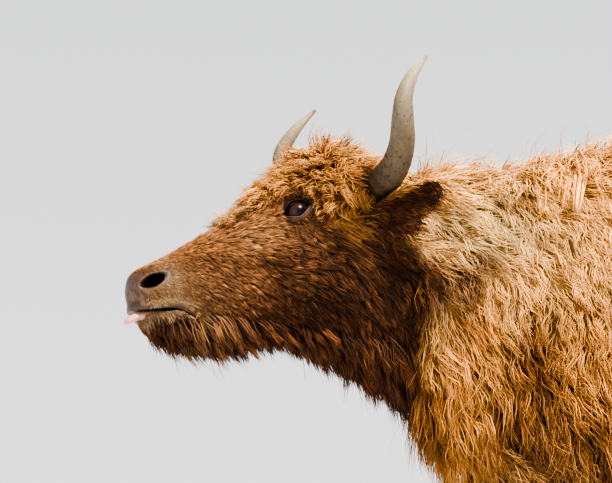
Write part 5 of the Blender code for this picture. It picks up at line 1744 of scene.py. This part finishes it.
class YAK_OT_tongue(bpy.types.Operator):
    """Make the tongue that shows between the lips"""

    bl_idname = "yak.tongue"
    bl_label = "Tongue"

    def execute(self, context):
        points = [head_point(*p) for p in TONGUE_PATH]
        rings, _ = tube_rings(points, TONGUE_HALF_WIDTHS, 40, 10, UP, TONGUE_FLATNESS)
        ahead = unit(points[-1] - points[-2])
        tip = rings[-1].mean(0) + ahead * TONGUE_TIP
        rings = np.concatenate((rings, domed(rings[-1], ahead, TONGUE_CAP)))
        # A shallow groove along the middle of its top
        away = rings - rings.mean(1, keepdims=True)
        groove = np.exp(-((away @ LEFT) / 0.004) ** 2) * ((away @ UP) > 0) * TONGUE_GROOVE
        rings = rings - UP * groove[..., None]
        piece = solid("tongue_flesh", rings, None, tip, look("tongue"))
        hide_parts("tongue")
        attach(piece, "root")
        return {"FINISHED"}


FLOOR_RADIUS = 60.0
FLOOR_SIDES = 64
VIEW_CENTRE = (0.15, -1.02, 0.967)
CHEST = (0.1, -0.6, 0.85)
SENSOR_WIDTH = 36
KEY_WAY = (-2.2, -1.7, -3.6)
KEY_ENERGY = 9.0
KEY_ANGLE = math.radians(9)
KEY_COLOUR = (1.0, 0.94, 0.85)
Lamp = namedtuple("Lamp", "name place size energy colour")
LAMPS = (
    Lamp("fill", (4.4, -3.6, 1.4), 3.0, 45, (0.92, 0.96, 1.0)),
    Lamp("rim", (-2.6, -0.4, 3.6), 2.0, 110, (1.0, 0.96, 0.90)),
)
# The air by height: as pale as the floor at the horizon, dimmer overhead, so the key light models the coat
AIR_COLOURS = ((0.0, (1.18, 1.17, 1.15)), (0.24, (0.94, 0.95, 0.97)), (0.62, (0.31, 0.32, 0.34)))


def stand(name, data, place, way):
    """An object for a lamp or camera, at a place and looking along a way."""
    holder = bpy.data.objects.new(name, data)
    bpy.context.scene.collection.objects.link(holder)
    turn = Vector(way).to_track_quat("-Z", "Y").to_matrix().to_4x4()
    holder.matrix_world = Matrix.Translation(place) @ turn
    return holder


class YAK_OT_stage(bpy.types.Operator):
    """Make the floor, the pale air round it, the lights and the camera"""

    bl_idname = "yak.stage"
    bl_label = "Stage"

    def execute(self, context):
        settings = context.scene.yak
        turn = np.linspace(0, 2 * math.pi, FLOOR_SIDES, endpoint=False)
        rim = [(FLOOR_RADIUS * math.cos(t), FLOOR_RADIUS * math.sin(t), 0.0) for t in turn]
        mesh = bpy.data.meshes.new("studio_floor")
        mesh.from_pydata([(0.0, 0.0, 0.0), *rim], [],
                         [(0, k + 1, (k + 1) % FLOOR_SIDES + 1) for k in range(FLOOR_SIDES)])
        pale = one_colour_material("pale_floor", look_group(), settings.floor_colour, 0.9, 1.5, 0.04)
        floor = place_object("studio_floor", mesh, pale)

        camera = bpy.data.cameras.new("photo_camera")
        camera.sensor_width = SENSOR_WIDTH
        camera.lens = settings.lens
        target = Vector(VIEW_CENTRE) + Vector(SHIFT)
        ahead = Vector((-math.cos(settings.rise), 0, math.sin(settings.rise)))
        context.scene.camera = stand("photo_camera", camera, target - ahead * settings.distance, ahead)

        sun = bpy.data.lights.new("key", "SUN")
        sun.angle = KEY_ANGLE
        sun.energy = KEY_ENERGY
        sun.color = KEY_COLOUR
        stand("key", sun, (0, 0, 0), KEY_WAY)
        for each in LAMPS:
            lamp = bpy.data.lights.new(each.name, "AREA")
            lamp.shape = "DISK"
            lamp.size = each.size
            lamp.energy = each.energy
            lamp.color = each.colour
            stand(each.name, lamp, each.place, Vector(CHEST) - Vector(each.place))

        world = bpy.data.worlds.new("studio_air")
        world.use_nodes = True
        nodes, links = world.node_tree.nodes, world.node_tree.links
        space, apart = nodes.new("ShaderNodeTexCoord"), nodes.new("ShaderNodeSeparateXYZ")
        links.new(space.outputs["Generated"], apart.inputs["Vector"])
        air = add_ramp(nodes, links, apart.outputs["Z"], AIR_COLOURS)
        links.new(air, nodes["Background"].inputs["Color"])
        context.scene.world = world
        context.scene.view_settings.look = "AgX - High Contrast"
        return {"FINISHED"}


class YAK_PT_panel(bpy.types.Panel):
    """Lists the yak's pieces in the sidebar"""

    bl_idname = "YAK_PT_panel"
    bl_label = "Yak"
    bl_space_type = "VIEW_3D"
    bl_region_type = "UI"
    bl_category = "Yak"

    def draw(self, context):
        for name in ("density", "ring_count", "ring_height", "lens", "distance", "rise", "floor_colour"):
            self.layout.prop(context.scene.yak, name)
        for operator in OPERATORS:
            self.layout.operator(operator.bl_idname)


OPERATORS = (YAK_OT_skin, YAK_OT_horns, YAK_OT_eyes, YAK_OT_claws, YAK_OT_tongue, YAK_OT_coat, YAK_OT_stage)
CLASSES = (YakSettings, *OPERATORS, YAK_PT_panel)


def register():
    for made in CLASSES:
        bpy.utils.register_class(made)
    bpy.types.Scene.yak = bpy.props.PointerProperty(type=YakSettings)


def unregister():
    del bpy.types.Scene.yak
    for made in reversed(CLASSES):
        bpy.utils.unregister_class(made)


def main():
    register()
    bpy.ops.yak.skin()
    bpy.ops.yak.horns()
    bpy.ops.yak.eyes()
    bpy.ops.yak.claws()
    bpy.ops.yak.tongue()
    bpy.ops.yak.coat()
    bpy.ops.yak.stage()


if __name__ == "__main__":
    main()
